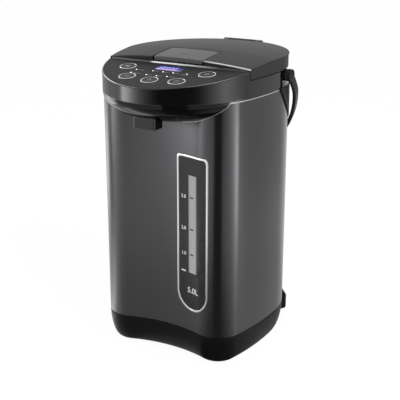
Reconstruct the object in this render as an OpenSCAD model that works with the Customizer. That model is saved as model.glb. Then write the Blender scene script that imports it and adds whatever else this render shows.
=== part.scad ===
// Electric thermo pot, five litres: steel jacket, wide collar with key panel, hinged lid, carrying bail.
// +Z is up, the front looks along -Y, and the pot stands on z = 0 with its box centred on the Z axis.

/* [Jacket] */
// Height of the steel jacket's top edge
jacket_top = 314.8; // [308:0.1:322]
// Thickness of the jacket's steel
steel = 0.8; // [0.6:0.1:1.2]
// Radius of the round back
back_r = 97.5; // [96.5:0.1:100]
// Distance from the middle to the centre of the round back
back_y = 15.6; // [14:0.1:17]
// Radius of the long side arcs
side_r = 320.7; // [300:0.1:350]
// Radius of the front corners
corner_r = 30.5; // [28:0.1:33]
// Distance of the corner centres to each side
corner_x = 58.6; // [57:0.1:61]
// Distance of the corner centres towards the front
corner_y = 57.9; // [57:0.1:60]
// Reach of the hollow front past the corner centres
front_reach = 21; // [19.5:0.1:23]

/* [Base] */
// Height of the base ring's top edge
base_top = 38.8; // [36:0.1:42]
// How far the base ring rolls in at its foot
base_roll = 11.6; // [9:0.1:13]
// Wall of the base ring
base_wall = 2.5; // [2:0.1:3]
// Height of the rubber feet
foot_h = 3; // [2.5:0.1:4]
// Radius of the rubber feet
foot_r = 9; // [7:0.1:10]
// Thickness of the bottom plate
plate_t = 3; // [2.5:0.1:3.5]

/* [Collar] */
// Height of the rim that the lid rests above
rim_z = 334.3; // [333:0.1:335]
// Wall of the collar
collar_wall = 2.5; // [2:0.1:3]
// Distance of the nose's centre towards the front
nose_y = 58.5; // [57:0.1:60]
// Radius of the nose in plan
nose_r = 75; // [73:0.1:77]
// Radius of the nose's flanks in plan
flank_r = 109.6; // [108:0.1:112]
// Height of the chin below the collar
chin_h = 26.5; // [25:0.1:27.5]
// How far the chin rolls in
chin_roll = 54.5; // [53:0.1:56]
// Wall of the chin
chin_wall = 2.5; // [2:0.1:3]
// Height of the panel at its back edge
panel_z = 344.1; // [343.5:0.1:344.6]
// Slope of the panel in degrees
panel_tilt = 7.8; // [7:0.1:8.5]
// Width of the bright border round the panel
border = 1.4; // [1.2:0.1:1.8]
// Thickness of the panel
fascia_t = 2.5; // [2:0.1:3]

/* [Keys] */
// Radius of a key's cap
key_r = 8.5; // [7:0.1:8.8]
// Width of the silver ring round a key
ring_w = 1; // [0.8:0.1:1.2]
// Travel of a key
key_travel = 0.6; // [0.3:0.1:0.6]
// Distance of the outer pair of keys from the middle
outer_key_x = 51; // [49:0.5:53]
// Distance of the outer pair of keys towards the front
outer_key_y = 72; // [71:0.5:75]
// Distance of the inner pair of keys from the middle
inner_key_x = 31.5; // [29:0.5:33]
// Distance of the inner pair of keys towards the front
inner_key_y = 102.8; // [101:0.2:104]
// Distance of the middle key towards the front
middle_key_y = 107; // [105:0.5:109]
// Width of the display window
display_w = 33; // [30:0.5:35]
// Height of the display window
display_h = 13; // [11:0.5:13]
// Distance of the display towards the front
display_y = 66; // [65:0.5:67]
// Radius of an indicator lens
lamp_r = 1; // [0.8:0.1:1.2]

/* [Lid] */
// Height of the lid's crown
crown_z = 356.5; // [356:0.1:358]
// Radius of the crown
crown_r = 795; // [760:5:850]
// Distance from the middle to the crease across the lid
crease_y = 2; // [0:0.5:5]
// Extra slope in front of the crease in degrees
crease_tilt = 2.5; // [2:0.1:2.8]
// Distance of the lid's front edge from the middle
lid_front = 48.8; // [48.6:0.1:48.8]
// Wall of the lid
lid_wall = 2.5; // [2:0.1:2.8]
// Gap under the lid at the rim
lid_gap = 0.5; // [0.4:0.1:0.7]
// How far the hinge axis lies inside the back
hinge_in = 4.1; // [3.7:0.1:4.3]
// Height of the hinge axis
hinge_z = 345; // [344.5:0.1:345.5]
// Radius of the hinge knuckles
knuckle_r = 7.5; // [7:0.1:7.5]
// Radius of the hinge pin
hinge_pin_r = 2.5; // [2:0.1:3]
// Half width of the hinge
hinge_half = 25.5; // [24:0.5:26]

/* [Latch] */
// Half width of the latch plate
latch_half = 32.6; // [30:0.1:33]
// Distance of the latch pivot from the middle
latch_y = 11; // [10.5:0.1:11.5]
// Height of the latch pivot
latch_z = 352.3; // [352:0.1:352.6]
// Height of the latch plate's underside
latch_low = 348.3; // [348:0.1:348.8]
// Radius of the latch pin
latch_pin_r = 1.25; // [1:0.05:1.4]
// Half width of the sliding bolt
bolt_half = 20; // [18:0.5:21]

/* [Handle] */
// Distance from the middle to the handle's pivots
pivot_y = 38; // [37:0.1:39]
// Height of the handle's pivots
pivot_z = 327; // [326.8:0.1:327]
// Angle that the handle hangs below the horizontal
bail_drop = 52; // [50:0.5:56]
// Room between the jacket's back and the handle's bow
bail_gap = 6.6; // [6.4:0.1:8]
// Thickness of the handle in plan
bail_t = 4; // [3.6:0.1:4]
// Width of the handle
bail_w = 10.2; // [9:0.1:10.4]
// Radius of the handle's pivot pins
pivot_r = 3.4; // [2.8:0.1:3.6]

/* [Gauge] */
// Distance of the gauge's middle line from the pot's middle
gauge_x = 39.6; // [39:0.1:40]
// Half width of the gauge frame
gauge_half = 22.4; // [21:0.1:23]
// Height of the gauge's top edge
gauge_top = 252; // [245:1:258]
// Height of the gauge's round bottom
gauge_low = 64.5; // [62:0.5:68]
// Width of the gauge frame's bright line
bezel_w = 2.6; // [2:0.1:3]
// Width of the level window
window_w = 12.4; // [11:0.2:14]
// Height of the level window's lower end
window_low = 112; // [110:1:116]
// Height of the level window's upper end
window_top = 229; // [222:1:232]

/* [Water path] */
// Outer radius of the level tube and the pump's stub
tube_r = 4; // [3.5:0.1:4.4]
// Bore radius of the level tube and the pump's stub
tube_bore = 2.6; // [2:0.1:3]
// Wall of the hoses
hose_wall = 1.55; // [1.2:0.05:1.7]
// Distance of the outlet towards the front
spout_y = 111; // [109:0.5:113]
// Half width of the spout box
spout_half = 13.5; // [12.5:0.1:14.5]
// Depth of the spout box
spout_depth = 17.1; // [17:0.1:20]
// Height of the spout box's underside
spout_low = 284.3; // [283:0.1:285.5]
// Radius of the nozzle
nozzle_r = 6; // [5.6:0.1:6.4]
// Radius of the nozzle's mouth
outlet_r = 3.6; // [3:0.1:4]

/* [Inner pot] */
// Room between the jacket's back radius and the inner pot's
pot_clear = 12.5; // [12:0.1:16]
// Wall of the inner pot
pot_wall = 0.8; // [0.6:0.1:1]
// Distance from the round back's centre to the inner pot's axis
pot_shift = 2.4; // [2:0.1:2.8]
// Height of the inner pot's underside
pot_low = 72; // [70:0.5:76]
// Height of the inner pot's top edge
pot_top = 298; // [294:0.5:299]
// Radius of the pot's mouth
mouth_r = 58; // [57:0.5:59]
// Thickness of the insulation
wool_t = 4; // [3:0.1:4.5]

/* [Pump] */
// Radius of the pump housing
pump_r = 23; // [22.5:0.1:24]
// Radius of the motor can
motor_r = 18; // [17:0.1:18]
// Radius of the impeller
impeller_r = 15; // [13:0.5:16]
// Radius of the motor's shaft
shaft_r = 1.6; // [1.2:0.1:2]
// Radius of the impeller's pin
wheel_pin_r = 1.5; // [1.2:0.1:1.8]

/* [Fits] */
// Gap between a pin and a bore that turns on it
run_gap = 0.05; // [0.02:0.01:0.08]
// Gap between pieces that sit in each other
seat_gap = 0.1; // [0.05:0.01:0.15]
// Gap between faces that pass each other
pass_gap = 0.3; // [0.25:0.05:0.35]

/* [Hidden] */
$fn = 64;
far = 400;
eps = 0.01;

// Plan geometry
back_c = [0, back_y];
corner_c = [corner_x, -corner_y];
front_r = (corner_x * corner_x + front_reach * front_reach - corner_r * corner_r)
    / (2 * (corner_r - front_reach));
front_c = [0, -corner_y - front_reach - front_r];
side_c = circle_meet(corner_c, side_r - corner_r, back_c, side_r - back_r, 1);
nose_c = [0, -nose_y];
flank_c = circle_meet(nose_c, flank_r - nose_r, side_c, side_r - flank_r, -1);
nose_front = nose_y + nose_r;
pot_r = back_r - pot_clear;
pot_y = back_y + pot_shift;
hinge_y = back_y + back_r - hinge_in;
bail_in = back_r + bail_gap;
back_reach = back_y + bail_in + bail_t + bail_w / 2 * sin(bail_drop);
frame_y = (nose_front - back_reach) / 2;

// Heights that several pieces share
base_h = base_top - foot_h;
plate_top = foot_h + plate_t;
deck_top = rim_z - 9.3;
deck_t = 3;
deck_low = deck_top - deck_t;
flange_t = 1.2;
gasket_t = 2.8;
flange_top = deck_low - gasket_t;
lid_low = rim_z + lid_gap;
wall_y = -lid_front - 1.3;
bulkhead_t = 2.5;
bezel_proud = 0.9;

function polar(c, r, a) = [c.x + r * cos(a), c.y + r * sin(a)];
function arc(c, r, a0, a1, n) = [for (i = [1 : n]) polar(c, r, a0 + (a1 - a0) * i / n)];
function bearing(from, to) = atan2(to.y - from.y, to.x - from.x);
function circle_meet(p, rp, q, rq, side) =
    let (d = norm(q - p), a = (rp * rp - rq * rq + d * d) / (2 * d))
    let (h = sqrt(rp * rp - a * a), e = (q - p) / d)
    p + a * e + side * h * [-e.y, e.x];
function whole(half) = concat(half, [for (i = [len(half) - 2 : -1 : 1]) [-half[i].x, half[i].y]]);

// Outline of the jacket, d inside its outer face
function jacket(d) =
    let (
        af = bearing(front_c, corner_c),
        a1 = bearing(side_c, corner_c),
        a2 = bearing(side_c, back_c)
    )
    whole(concat(
        [polar(front_c, front_r + d, 90)],
        arc(front_c, front_r + d, 90, af, 6),
        arc(corner_c, corner_r - d, af - 180, a1, 9),
        arc(side_c, side_r - d, a1, a2, 5),
        arc(back_c, back_r - d, a2, 90, 14)
    ));

// Outline of the collar, d inside its outer face
function egg(d) =
    let (
        a0 = bearing(flank_c, nose_c),
        a1 = bearing(side_c, flank_c),
        a2 = bearing(side_c, back_c)
    )
    whole(concat(
        [polar(nose_c, nose_r - d, -90)],
        arc(nose_c, nose_r - d, -90, a0, 9),
        arc(flank_c, flank_r - d, a0, a1, 8),
        arc(side_c, side_r - d, a1, a2, 3),
        arc(back_c, back_r - d, a2, 90, 14)
    ));

function base_inset(z) = base_roll * (1 - sqrt(1 - pow((base_top - z) / base_h, 2)));
function sphere_z(y) = crown_z - crown_r + sqrt(crown_r * crown_r - pow(y - back_y, 2));

// Everything is drawn about the vessel's middle and then set on the frame's axis
module placed() {
    translate([0, frame_y, 0])
        children();
}

module prism(outline, z0, z1) {
    translate([0, 0, z0])
        linear_extrude(z1 - z0)
            polygon(outline);
}

module shell(outer, inner, z0, z1) {
    translate([0, 0, z0])
        linear_extrude(z1 - z0)
            difference() {
                polygon(outer);
                polygon(inner);
            }
}

module box(x0, x1, y0, y1, z0, z1) {
    translate([x0, y0, z0])
        cube([x1 - x0, y1 - y0, z1 - z0]);
}

module tube(r1, r0, z0, z1) {
    translate([0, 0, z0])
        difference() {
            cylinder(r = r1, h = z1 - z0);
            translate([0, 0, -1])
                cylinder(r = r0, h = z1 - z0 + 2);
        }
}

// Cylinder along X through the point (y, z)
module bar(x0, x1, y, z, r) {
    translate([x0, y, z])
        rotate([0, 90, 0])
            cylinder(r = r, h = x1 - x0);
}

module both_sides() {
    children();
    mirror([1, 0, 0])
        children();
}

module loft(slices) {
    n = len(slices[0][0]);
    m = len(slices);
    polyhedron(
        points = [for (s = slices, p = s[0]) [p.x, p.y, s[1]]],
        faces = concat(
            [[for (i = [0 : n - 1]) i]],
            [[for (i = [n - 1 : -1 : 0]) (m - 1) * n + i]],
            [for (k = [0 : m - 2], i = [0 : n - 1])
                let (j = (i + 1) % n)
                [k * n + i, (k + 1) * n + i, (k + 1) * n + j, k * n + j]]
        )
    );
}

// Slab between two heights across the whole part, behind or in front of a line
module behind(y, z0, z1) {
    box(-far, far, y, far, z0, z1);
}

module ahead(y, z0, z1) {
    box(-far, far, -far, y, z0, z1);
}

module on_pot_axis() {
    translate([0, pot_y, 0])
        children();
}

// ---------------------------------------------------------------- base

base_steps = 7;
screw_r = 1.5;
screw_head_r = 3.2;
screw_head_h = 2.1;
pillar_r = 5;
pillar_top = base_top - 8;
pillar_back = polar(back_c, back_r - 19.5, 26);
pillar_front = [corner_x + 3.4, -corner_y - 8.1];
pillar_at = [pillar_front, pillar_back, [-pillar_back.x, pillar_back.y], [-pillar_front.x, pillar_front.y]];
foot_back = polar(back_c, back_r - 29.3, 43);
foot_front = [corner_x - 6.6, -corner_y + 7.9];
foot_at = [foot_front, foot_back, [-foot_back.x, foot_back.y], [-foot_front.x, foot_front.y]];
plate_inset = base_roll + base_wall + 0.9;

// The inlet's hood sits at the back, half way to the right
inlet_turn = 45;
hood_half = 17;
hood_proud = 8;
hood_top = base_top + 6.2;
inlet_half = 11.8;
inlet_z = 24;
inlet_h = 16;
inlet_in = back_r - 17;
inlet_out = back_r + 6;

module at_inlet() {
    translate([0, back_y, 0])
        rotate([0, 0, inlet_turn])
            children();
}

module hood() {
    difference() {
        at_inlet()
            translate([0, hood_half, 0])
                rotate([90, 0, 0])
                    linear_extrude(2 * hood_half)
                        polygon([
                            [back_r - 6, foot_h + 9],
                            [back_r + hood_proud - 1, foot_h + 11],
                            [back_r + hood_proud, foot_h + 17],
                            [back_r + hood_proud - 0.4, foot_h + 23],
                            [back_r + 0.2, hood_top],
                            [back_r - 6, hood_top]
                        ]);
        prism(jacket(-0.15), base_top, hood_top + 1);
        prism(jacket(base_inset(foot_h + 9) + base_wall), 0, base_top + 1);
    }
}

module base_ring() placed() color([0.11, 0.11, 0.12]) {
    cuts = [foot_h + 3, foot_h + 9, foot_h + 17];
    difference() {
        union() {
            difference() {
                loft([for (i = [0 : base_steps])
                    let (a = 90 - 90 * i / base_steps)
                    [jacket(base_roll * (1 - cos(a))), base_top - base_h * sin(a)]]);
                prism(jacket(base_roll + base_wall + 0.4), foot_h - 1, base_top + 1);
                for (z = cuts)
                    prism(jacket(base_inset(z) + base_wall), z, base_top + 1);
            }
            shell(jacket(steel + pass_gap), jacket(base_wall + 1.8), base_top - 3, base_top + 5);
            hood();
            for (p = pillar_at) {
                translate([p.x, p.y, plate_top])
                    cylinder(r = pillar_r, h = pillar_top - plate_top);
                intersection() {
                    translate([p.x, p.y, plate_top + 1])
                        rotate([0, 0, bearing([0, 0], p)])
                            translate([0, -1.5, 0])
                                cube([40, 3, pillar_top - plate_top - 4]);
                    prism(jacket(base_inset(plate_top) + 0.8), plate_top, base_top);
                }
            }
        }
        for (p = pillar_at)
            translate([p.x, p.y, foot_h])
                cylinder(r = screw_r, h = 16);
        at_inlet()
            box(inlet_in - 4, far, -inlet_half - seat_gap, inlet_half + seat_gap,
                inlet_z - inlet_h / 2 - seat_gap, inlet_z + inlet_h / 2 + seat_gap);
    }
}

motor_low = 10;
ear_turn = [30, 150, 270];
ear_reach = 31;
ear_z = 20;
ear_t = 4;
board_z = 14;

module base_plate() placed() color([0.2, 0.2, 0.21]) {
    difference() {
        union() {
            prism(jacket(plate_inset), foot_h, plate_top);
            on_pot_axis()
                for (a = ear_turn)
                    rotate([0, 0, a])
                        translate([ear_reach - 3, 0, plate_top - eps])
                            cylinder(r = 4, h = ear_z - plate_top + eps);
            for (x = [board_x0 + 4, board_x1 - 4], y = [board_y0 + 4, board_y1 - 4])
                translate([x, y, plate_top - eps])
                    cylinder(r = 3, h = board_z - plate_top + eps);
        }
        for (p = pillar_at)
            translate([p.x, p.y, 0])
                cylinder(r = screw_r + seat_gap, h = plate_top + 1);
        for (i = [-3 : 3])
            box(-24, 24, 62 + i * 6 - 1.2, 62 + i * 6 + 1.2, 0, plate_top + 1);
    }
}

module rubber_feet() placed() color([0.07, 0.07, 0.07]) {
    for (p = foot_at)
        translate([p.x, p.y, 0])
            difference() {
                cylinder(r = foot_r, h = foot_h);
                translate([0, 0, -1])
                    cylinder(r = foot_r * 0.4, h = 2);
            }
}

// A screw with its head below its seat at z = 0, and its shank upwards
module screw_up(length) {
    translate([0, 0, -screw_head_h])
        difference() {
            cylinder(r = screw_head_r, h = screw_head_h);
            translate([0, 0, -1])
                for (a = [0, 90])
                    rotate([0, 0, a])
                        translate([-screw_head_r * 0.6, -0.4, 0])
                            cube([screw_head_r * 1.2, 0.8, 2]);
        }
    translate([0, 0, -eps])
        cylinder(r = screw_r - run_gap, h = length + eps);
}

module base_screws() placed() color([0.6, 0.6, 0.62]) {
    for (p = pillar_at)
        translate([p.x, p.y, foot_h])
            screw_up(base_screw_l);
}

// ---------------------------------------------------------------- jacket and gauge

notch_half = 48;
notch_z = jacket_top - 14.8;

// Outline of the gauge in the XZ plane, d inside the frame's outer edge
module gauge_outline(d) {
    r = gauge_half - d;
    k = 4;
    translate([gauge_x, 0]) {
        translate([0, gauge_low + gauge_half])
            circle(r = r);
        translate([-r, gauge_low + gauge_half])
            square([2 * r, gauge_top - d - k - gauge_low - gauge_half]);
        translate([-r + k, gauge_top - d - 2 * k])
            square([2 * (r - k), 2 * k]);
        for (s = [-1, 1])
            translate([s * (r - k), gauge_top - d - k])
                circle(r = k);
    }
}

// The gauge's outline as a prism that runs through the front wall
module gauge_prism(d) {
    translate([0, -corner_y, 0])
        rotate([90, 0, 0])
            linear_extrude(60)
                gauge_outline(d);
}

module window_prism(d) {
    r = window_w / 2 - d;
    translate([gauge_x, -corner_y, 0])
        rotate([90, 0, 0])
            linear_extrude(60) {
                translate([-r, window_low + d])
                    square([2 * r, window_top - window_low - 2 * d]);
            }
}

// A skin of the front wall between two depths, over the gauge's height
module skin(d0, d1) {
    shell(jacket(d0), jacket(d1), gauge_low - 5, gauge_top + 5);
}

module outer_body() placed() color([0.27, 0.27, 0.29]) {
    difference() {
        shell(jacket(0), jacket(steel), base_top, jacket_top);
        gauge_prism(1.5);
        box(-notch_half, notch_half, -far, -corner_y, notch_z, jacket_top + 1);
    }
}

module gauge_bezel() placed() color([0.74, 0.75, 0.77]) {
    difference() {
        union() {
            intersection() {
                skin(-bezel_proud, -0.05);
                gauge_prism(0);
            }
            intersection() {
                skin(-0.2, steel + 1.2);
                gauge_prism(1.5 + seat_gap);
            }
        }
        gauge_prism(bezel_w);
    }
}

module gauge_fascia() placed() color([0.13, 0.13, 0.14]) {
    difference() {
        intersection() {
            skin(-0.4, steel + 0.6);
            gauge_prism(bezel_w + seat_gap);
        }
        window_prism(0);
    }
}

module gauge_lens() placed() color([0.72, 0.76, 0.8, 0.6]) {
    intersection() {
        skin(-0.3, steel + 0.4);
        window_prism(seat_gap);
    }
}

// ---------------------------------------------------------------- water path

tube_y = -74;
tube_c = [gauge_x, tube_y];
hose_in = tube_r + run_gap;
hose_r = hose_in + hose_wall;
outlet_z = 44;
outlet_turn = bearing([0, pot_y], tube_c);
outlet_run = norm(tube_c - [0, pot_y]);
hose_bend = 14;
hose_top = window_low - 8;
tube_low = hose_top - 10;
elbow_bend = 10;
elbow_z = jacket_top - 7;
elbow_low = elbow_z - 22;
tube_top = elbow_low + 9;
spout_c = [0, -spout_y];
spout_turn = bearing(tube_c, spout_c);
spout_run = norm(spout_c - tube_c);
nozzle_top = spout_low + 6;
elbow_end = nozzle_top + 0.8;
stub_top = elbow_z - elbow_bend - 1;

module gauge_tube() placed() color([0.85, 0.88, 0.9, 0.5]) {
    translate([tube_c.x, tube_c.y, 0])
        tube(tube_r, tube_bore, tube_low, tube_top);
}

module gauge_backing() placed() color([0.82, 0.83, 0.84]) {
    y0 = tube_y + tube_r + 0.2;
    box(gauge_x - 9, gauge_x + 9, y0, y0 + 1.2, hose_top + 2, gauge_top - 8);
    for (s = [-1, 1])
        box(gauge_x + s * 8 - 0.8, gauge_x + s * 8 + 0.8, y0 - 5, y0 + eps, hose_top + 2, gauge_top - 8);
}

// Straight piece of hose along X in the XZ plane at height z, then a bend up and a rise
module rising_hose(x0, x1, z, bend, top) {
    translate([x0, 0, z])
        rotate([0, 90, 0])
            tube(hose_r, hose_in, 0, x1 - bend - x0);
    translate([x1 - bend, 0, z + bend])
        rotate([90, 0, 0])
            rotate([0, 0, -90])
                hose_bend_piece(bend);
    translate([x1, 0, 0])
        tube(hose_r, hose_in, z + bend, top);
}

module hose_bend_piece(bend) {
    rotate_extrude(angle = 90)
        translate([bend, 0])
            difference() {
                circle(r = hose_r, $fn = 32);
                circle(r = hose_in, $fn = 32);
            }
}

module outlet_hose() placed() color([0.85, 0.84, 0.8]) {
    on_pot_axis()
        rotate([0, 0, outlet_turn])
            rising_hose(pump_r + 1.5, outlet_run, outlet_z, hose_bend, hose_top);
}

module outlet_elbow() placed() color([0.85, 0.84, 0.8]) {
    translate([tube_c.x, tube_c.y, 0])
        rotate([0, 0, spout_turn]) {
            tube(hose_r, hose_in, elbow_low, elbow_z - elbow_bend);
            translate([elbow_bend, 0, elbow_z - elbow_bend])
                rotate([90, 0, 0])
                    rotate([0, 0, 90])
                        hose_bend_piece(elbow_bend);
            translate([elbow_bend, 0, elbow_z])
                rotate([0, 90, 0])
                    tube(hose_r, hose_in, 0, spout_run - 2 * elbow_bend);
            translate([spout_run - elbow_bend, 0, elbow_z - elbow_bend])
                rotate([90, 0, 0])
                    hose_bend_piece(elbow_bend);
            translate([spout_run, 0, 0])
                tube(hose_r, hose_in, elbow_end, elbow_z - elbow_bend);
        }
}

module clamp_ring() {
    difference() {
        union() {
            cylinder(r = hose_r + 1.1, h = 5, center = true);
            translate([hose_r + 2.5, 0, 0])
                cube([5, 5, 5], center = true);
        }
        cylinder(r = hose_r + run_gap, h = 6, center = true);
    }
}

module hose_clamps() placed() color([0.7, 0.71, 0.72]) {
    for (z = [hose_top - 5, elbow_low + 5])
        translate([tube_c.x, tube_c.y, z])
            rotate([0, 0, 200])
                clamp_ring();
    on_pot_axis()
        rotate([0, 0, outlet_turn])
            translate([pump_r + 6, 0, outlet_z])
                rotate([0, 90, 0])
                    clamp_ring();
}

spout_wall = 2;
spout_plate_top = spout_low + 2;
spout_top = jacket_top - 15.3;

module spout_housing() placed() color([0.1, 0.1, 0.11]) {
    translate(spout_c)
        difference() {
            union() {
                box(-spout_half, spout_half, -spout_depth / 2, spout_depth / 2, spout_low, spout_top + 2);
                box(-spout_half - 2.5, spout_half + 2.5, -spout_depth / 2 + 3.6, spout_depth / 2 + 1.5,
                    spout_top + pass_gap, spout_top + 2);
            }
            box(-spout_half + spout_wall, spout_half - spout_wall, -spout_depth / 2 + spout_wall - 0.5,
                spout_depth / 2 - spout_wall + 0.5, spout_plate_top, spout_top + 3);
            translate([0, 0, spout_low - 1])
                cylinder(r = nozzle_r + seat_gap, h = 5);
        }
}

module spout_nozzle() placed() color([0.3, 0.3, 0.31]) {
    translate(spout_c)
        difference() {
            union() {
                translate([0, 0, spout_low + 0.5])
                    cylinder(r = nozzle_r, h = nozzle_top - spout_low - 0.5);
                translate([0, 0, spout_plate_top + 0.2])
                    cylinder(r = nozzle_r + 0.9, h = 1.5);
                translate([0, 0, nozzle_top - eps])
                    cylinder(r = tube_r, h = stub_top - nozzle_top);
            }
            translate([0, 0, spout_low])
                cylinder(r = tube_bore, h = 40);
            translate([0, 0, spout_low])
                cylinder(r = outlet_r, h = nozzle_top - spout_low - 1);
        }
}

// ---------------------------------------------------------------- collar and panel

// Places children on the panel at a point given in plan, with Z along the panel's normal
module on_panel(p) {
    translate([0, wall_y, panel_z])
        rotate([panel_tilt, 0, 0])
            translate([p.x, (p.y - wall_y) / cos(panel_tilt), 0])
                children();
}

// Everything between two heights over the panel's plane
module panel_slab(z0, z1) {
    on_panel([0, 0])
        translate([-far / 2, -far / 2, z0])
            cube([far, far, z1 - z0]);
}

seat_low = fascia_t + 0.05;
ledge = 2.8;
pocket_y0 = 14;
pocket_y1 = 75;
pocket_z = jacket_top + 1.2;
pocket_d = 3;
hub_r = 7.2;
hub_face = back_r - 1.8;
hub_out = back_r + 3.9;
boss_face = hub_face - pass_gap;
pin_in = back_r - 15.5;
deck_hole_r = mouth_r + 8.5;
apron_t = 1.5;

module apron() {
    intersection() {
        union() {
            shell(jacket(-apron_t), jacket(-0.15), base_top, pocket_z);
            shell(jacket(-apron_t), jacket(collar_wall), jacket_top, pocket_z);
        }
        translate([-far / 2, 0, 0])
            rotate([90, 0, 90])
                linear_extrude(far)
                    polygon([
                        [10, pocket_z], [10, jacket_top], [60, jacket_top - 30], [far / 2, jacket_top - 60],
                        [far / 2, pocket_z]
                    ]);
    }
}

module collar() placed() color([0.07, 0.07, 0.075]) {
    difference() {
        union() {
            difference() {
                prism(egg(0), jacket_top, panel_z + 2);
                intersection() {
                    panel_slab(0, 40);
                    ahead(wall_y, 0, far);
                }
                behind(wall_y - eps, rim_z, far);
                prism(egg(collar_wall), jacket_top - 1, deck_low);
                intersection() {
                    prism(egg(collar_wall), deck_top, far);
                    behind(wall_y, 0, far);
                }
                intersection() {
                    prism(egg(border + ledge), deck_low - 1, far);
                    panel_slab(-60, -seat_low);
                    ahead(wall_y - bulkhead_t, 0, far);
                }
                intersection() {
                    prism(egg(border), deck_low, far);
                    panel_slab(-seat_low, 40);
                    ahead(wall_y, 0, far);
                }
                on_pot_axis()
                    translate([0, 0, deck_low - 1])
                        cylinder(r = deck_hole_r, h = deck_t + 2);
            }
            intersection() {
                shell(egg(collar_wall - 0.1), egg(pocket_d + collar_wall), jacket_top, rim_z);
                box(-far, far, pocket_y0 - 4, pocket_y1 + 4, 0, far);
            }
            intersection() {
                shell(jacket(steel + pass_gap), jacket(steel + pass_gap + 2.2),
                    jacket_top - 8, jacket_top + 3);
                behind(-40, 0, far);
            }
            apron();
            both_sides()
                bar(pin_in - 2, boss_face - 1, pivot_y, pivot_z, hub_r - 0.3);
        }
        difference() {
            shell(egg(-5), egg(pocket_d), pocket_z, rim_z + 1);
            ahead(pocket_y0, 0, far);
            behind(pocket_y1, 0, far);
            both_sides()
                bar(pin_in, boss_face, pivot_y, pivot_z, hub_r - 0.3);
        }
        both_sides() {
            bar(pin_in, far, pivot_y, pivot_z, pivot_r + run_gap);
            bar(boss_face, far, pivot_y, pivot_z, hub_r + 0.8);
        }
        for (p = hinge_screw_at)
            translate([p.x, p.y, deck_low - 1])
                cylinder(r = screw_r, h = deck_t + 2);
    }
}

key_at = [
    [-outer_key_x, -outer_key_y], [-inner_key_x, -inner_key_y], [0, -middle_key_y],
    [inner_key_x, -inner_key_y], [outer_key_x, -outer_key_y]
];
lamp_at = [
    [-35, -79], [-14, -78], [-1, -78], [12, -78], [29, -77],
    [-35, -90.5], [-14, -91.5], [-1, -91.5], [12, -91]
];
post_at = [[-23, -85], [23, -88], [-38, -58], [38, -58], [-70, -62], [70, -62]];
ring_r = key_r + 0.2 + ring_w;
ring_up = 0.6;
key_up = 0.8;
flange_low = fascia_t + 1.2;
plunger_top = flange_low + key_travel + 0.2;
switch_top = plunger_top + 0.5;
board_top = switch_top + 3;
board_t = 1.6;

module panel_fascia() placed() color([0.2, 0.2, 0.21]) {
    difference() {
        union() {
            intersection() {
                prism(egg(border + seat_gap), deck_low, far);
                panel_slab(-fascia_t, 0);
                ahead(wall_y - 0.1, 0, far);
            }
            for (p = post_at)
                on_panel(p)
                    translate([0, 0, -board_top])
                        cylinder(r = 2.4, h = board_top - fascia_t + eps);
        }
        for (p = key_at)
            on_panel(p)
                cylinder(r = ring_r + run_gap, h = 20, center = true);
        for (p = lamp_at)
            on_panel(p)
                cylinder(r = lamp_r + run_gap, h = 20, center = true, $fn = 24);
        on_panel([0, -display_y])
            cube([display_w + 2 * seat_gap, display_h + 2 * seat_gap, 20], center = true);
    }
}

module key_rings() placed() color([0.72, 0.73, 0.75]) {
    for (p = key_at)
        on_panel(p)
            tube(ring_r, key_r + 0.2, -fascia_t, ring_up);
}

module display_window() placed() color([0.1, 0.1, 0.2]) {
    on_panel([0, -display_y]) {
        translate([-display_w / 2, -display_h / 2, -fascia_t - 0.1])
            cube([display_w, display_h, fascia_t]);
        translate([-display_w / 2 - 1, -display_h / 2 - 0.6, -fascia_t - 1])
            cube([display_w + 2, display_h + 1.2, 0.9]);
    }
}

module indicator_lenses() placed() color([0.75, 0.6, 0.55]) {
    for (p = lamp_at)
        on_panel(p)
            translate([0, 0, -board_top])
                cylinder(r = lamp_r, h = board_top + 0.1, $fn = 24);
}

module control_board() placed() color([0.1, 0.3, 0.16]) {
    difference() {
        on_panel([0, wall_y])
            translate([0, 0, -board_top - board_t])
                linear_extrude(board_t)
                    polygon([for (p = egg(8)) [p.x, (p.y - wall_y) / cos(panel_tilt)]]);
        behind(wall_y - bulkhead_t - 0.8, 0, far);
        ahead(-nose_front + 14, 0, far);
    }
    on_panel([0, -display_y])
        translate([-display_w / 2 + 1, -display_h / 2 + 1, -board_top - eps])
            cube([display_w - 2, display_h - 2, board_top - fascia_t - 1.3]);
}

module tact_switches() placed() color([0.3, 0.3, 0.32]) {
    for (p = key_at)
        on_panel(p) {
            translate([-3, -3, -board_top])
                cube([6, 6, board_top - switch_top]);
            translate([0, 0, -switch_top - eps])
                cylinder(r = 1.75, h = switch_top - plunger_top + eps);
        }
}

module key_cap(i) placed() color([0.14, 0.14, 0.15]) {
    on_panel(key_at[i]) {
        translate([0, 0, -flange_low])
            cylinder(r = key_r, h = flange_low + key_up);
        translate([0, 0, -flange_low])
            cylinder(r = ring_r - 0.15, h = 1);
    }
}

module unlock_key() key_cap(0);
module reboil_key() key_cap(1);
module dispense_key() key_cap(2);
module keep_warm_key() key_cap(3);
module power_key() key_cap(4);

chin_steps = 9;
chin_low = jacket_top - chin_h;

function chin_slices(d) = [for (i = [0 : chin_steps])
    let (a = 90 - 90 * i / chin_steps)
    [egg(chin_roll * (1 - cos(a)) + d), jacket_top - (chin_h - d) * sin(a)]];

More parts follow.
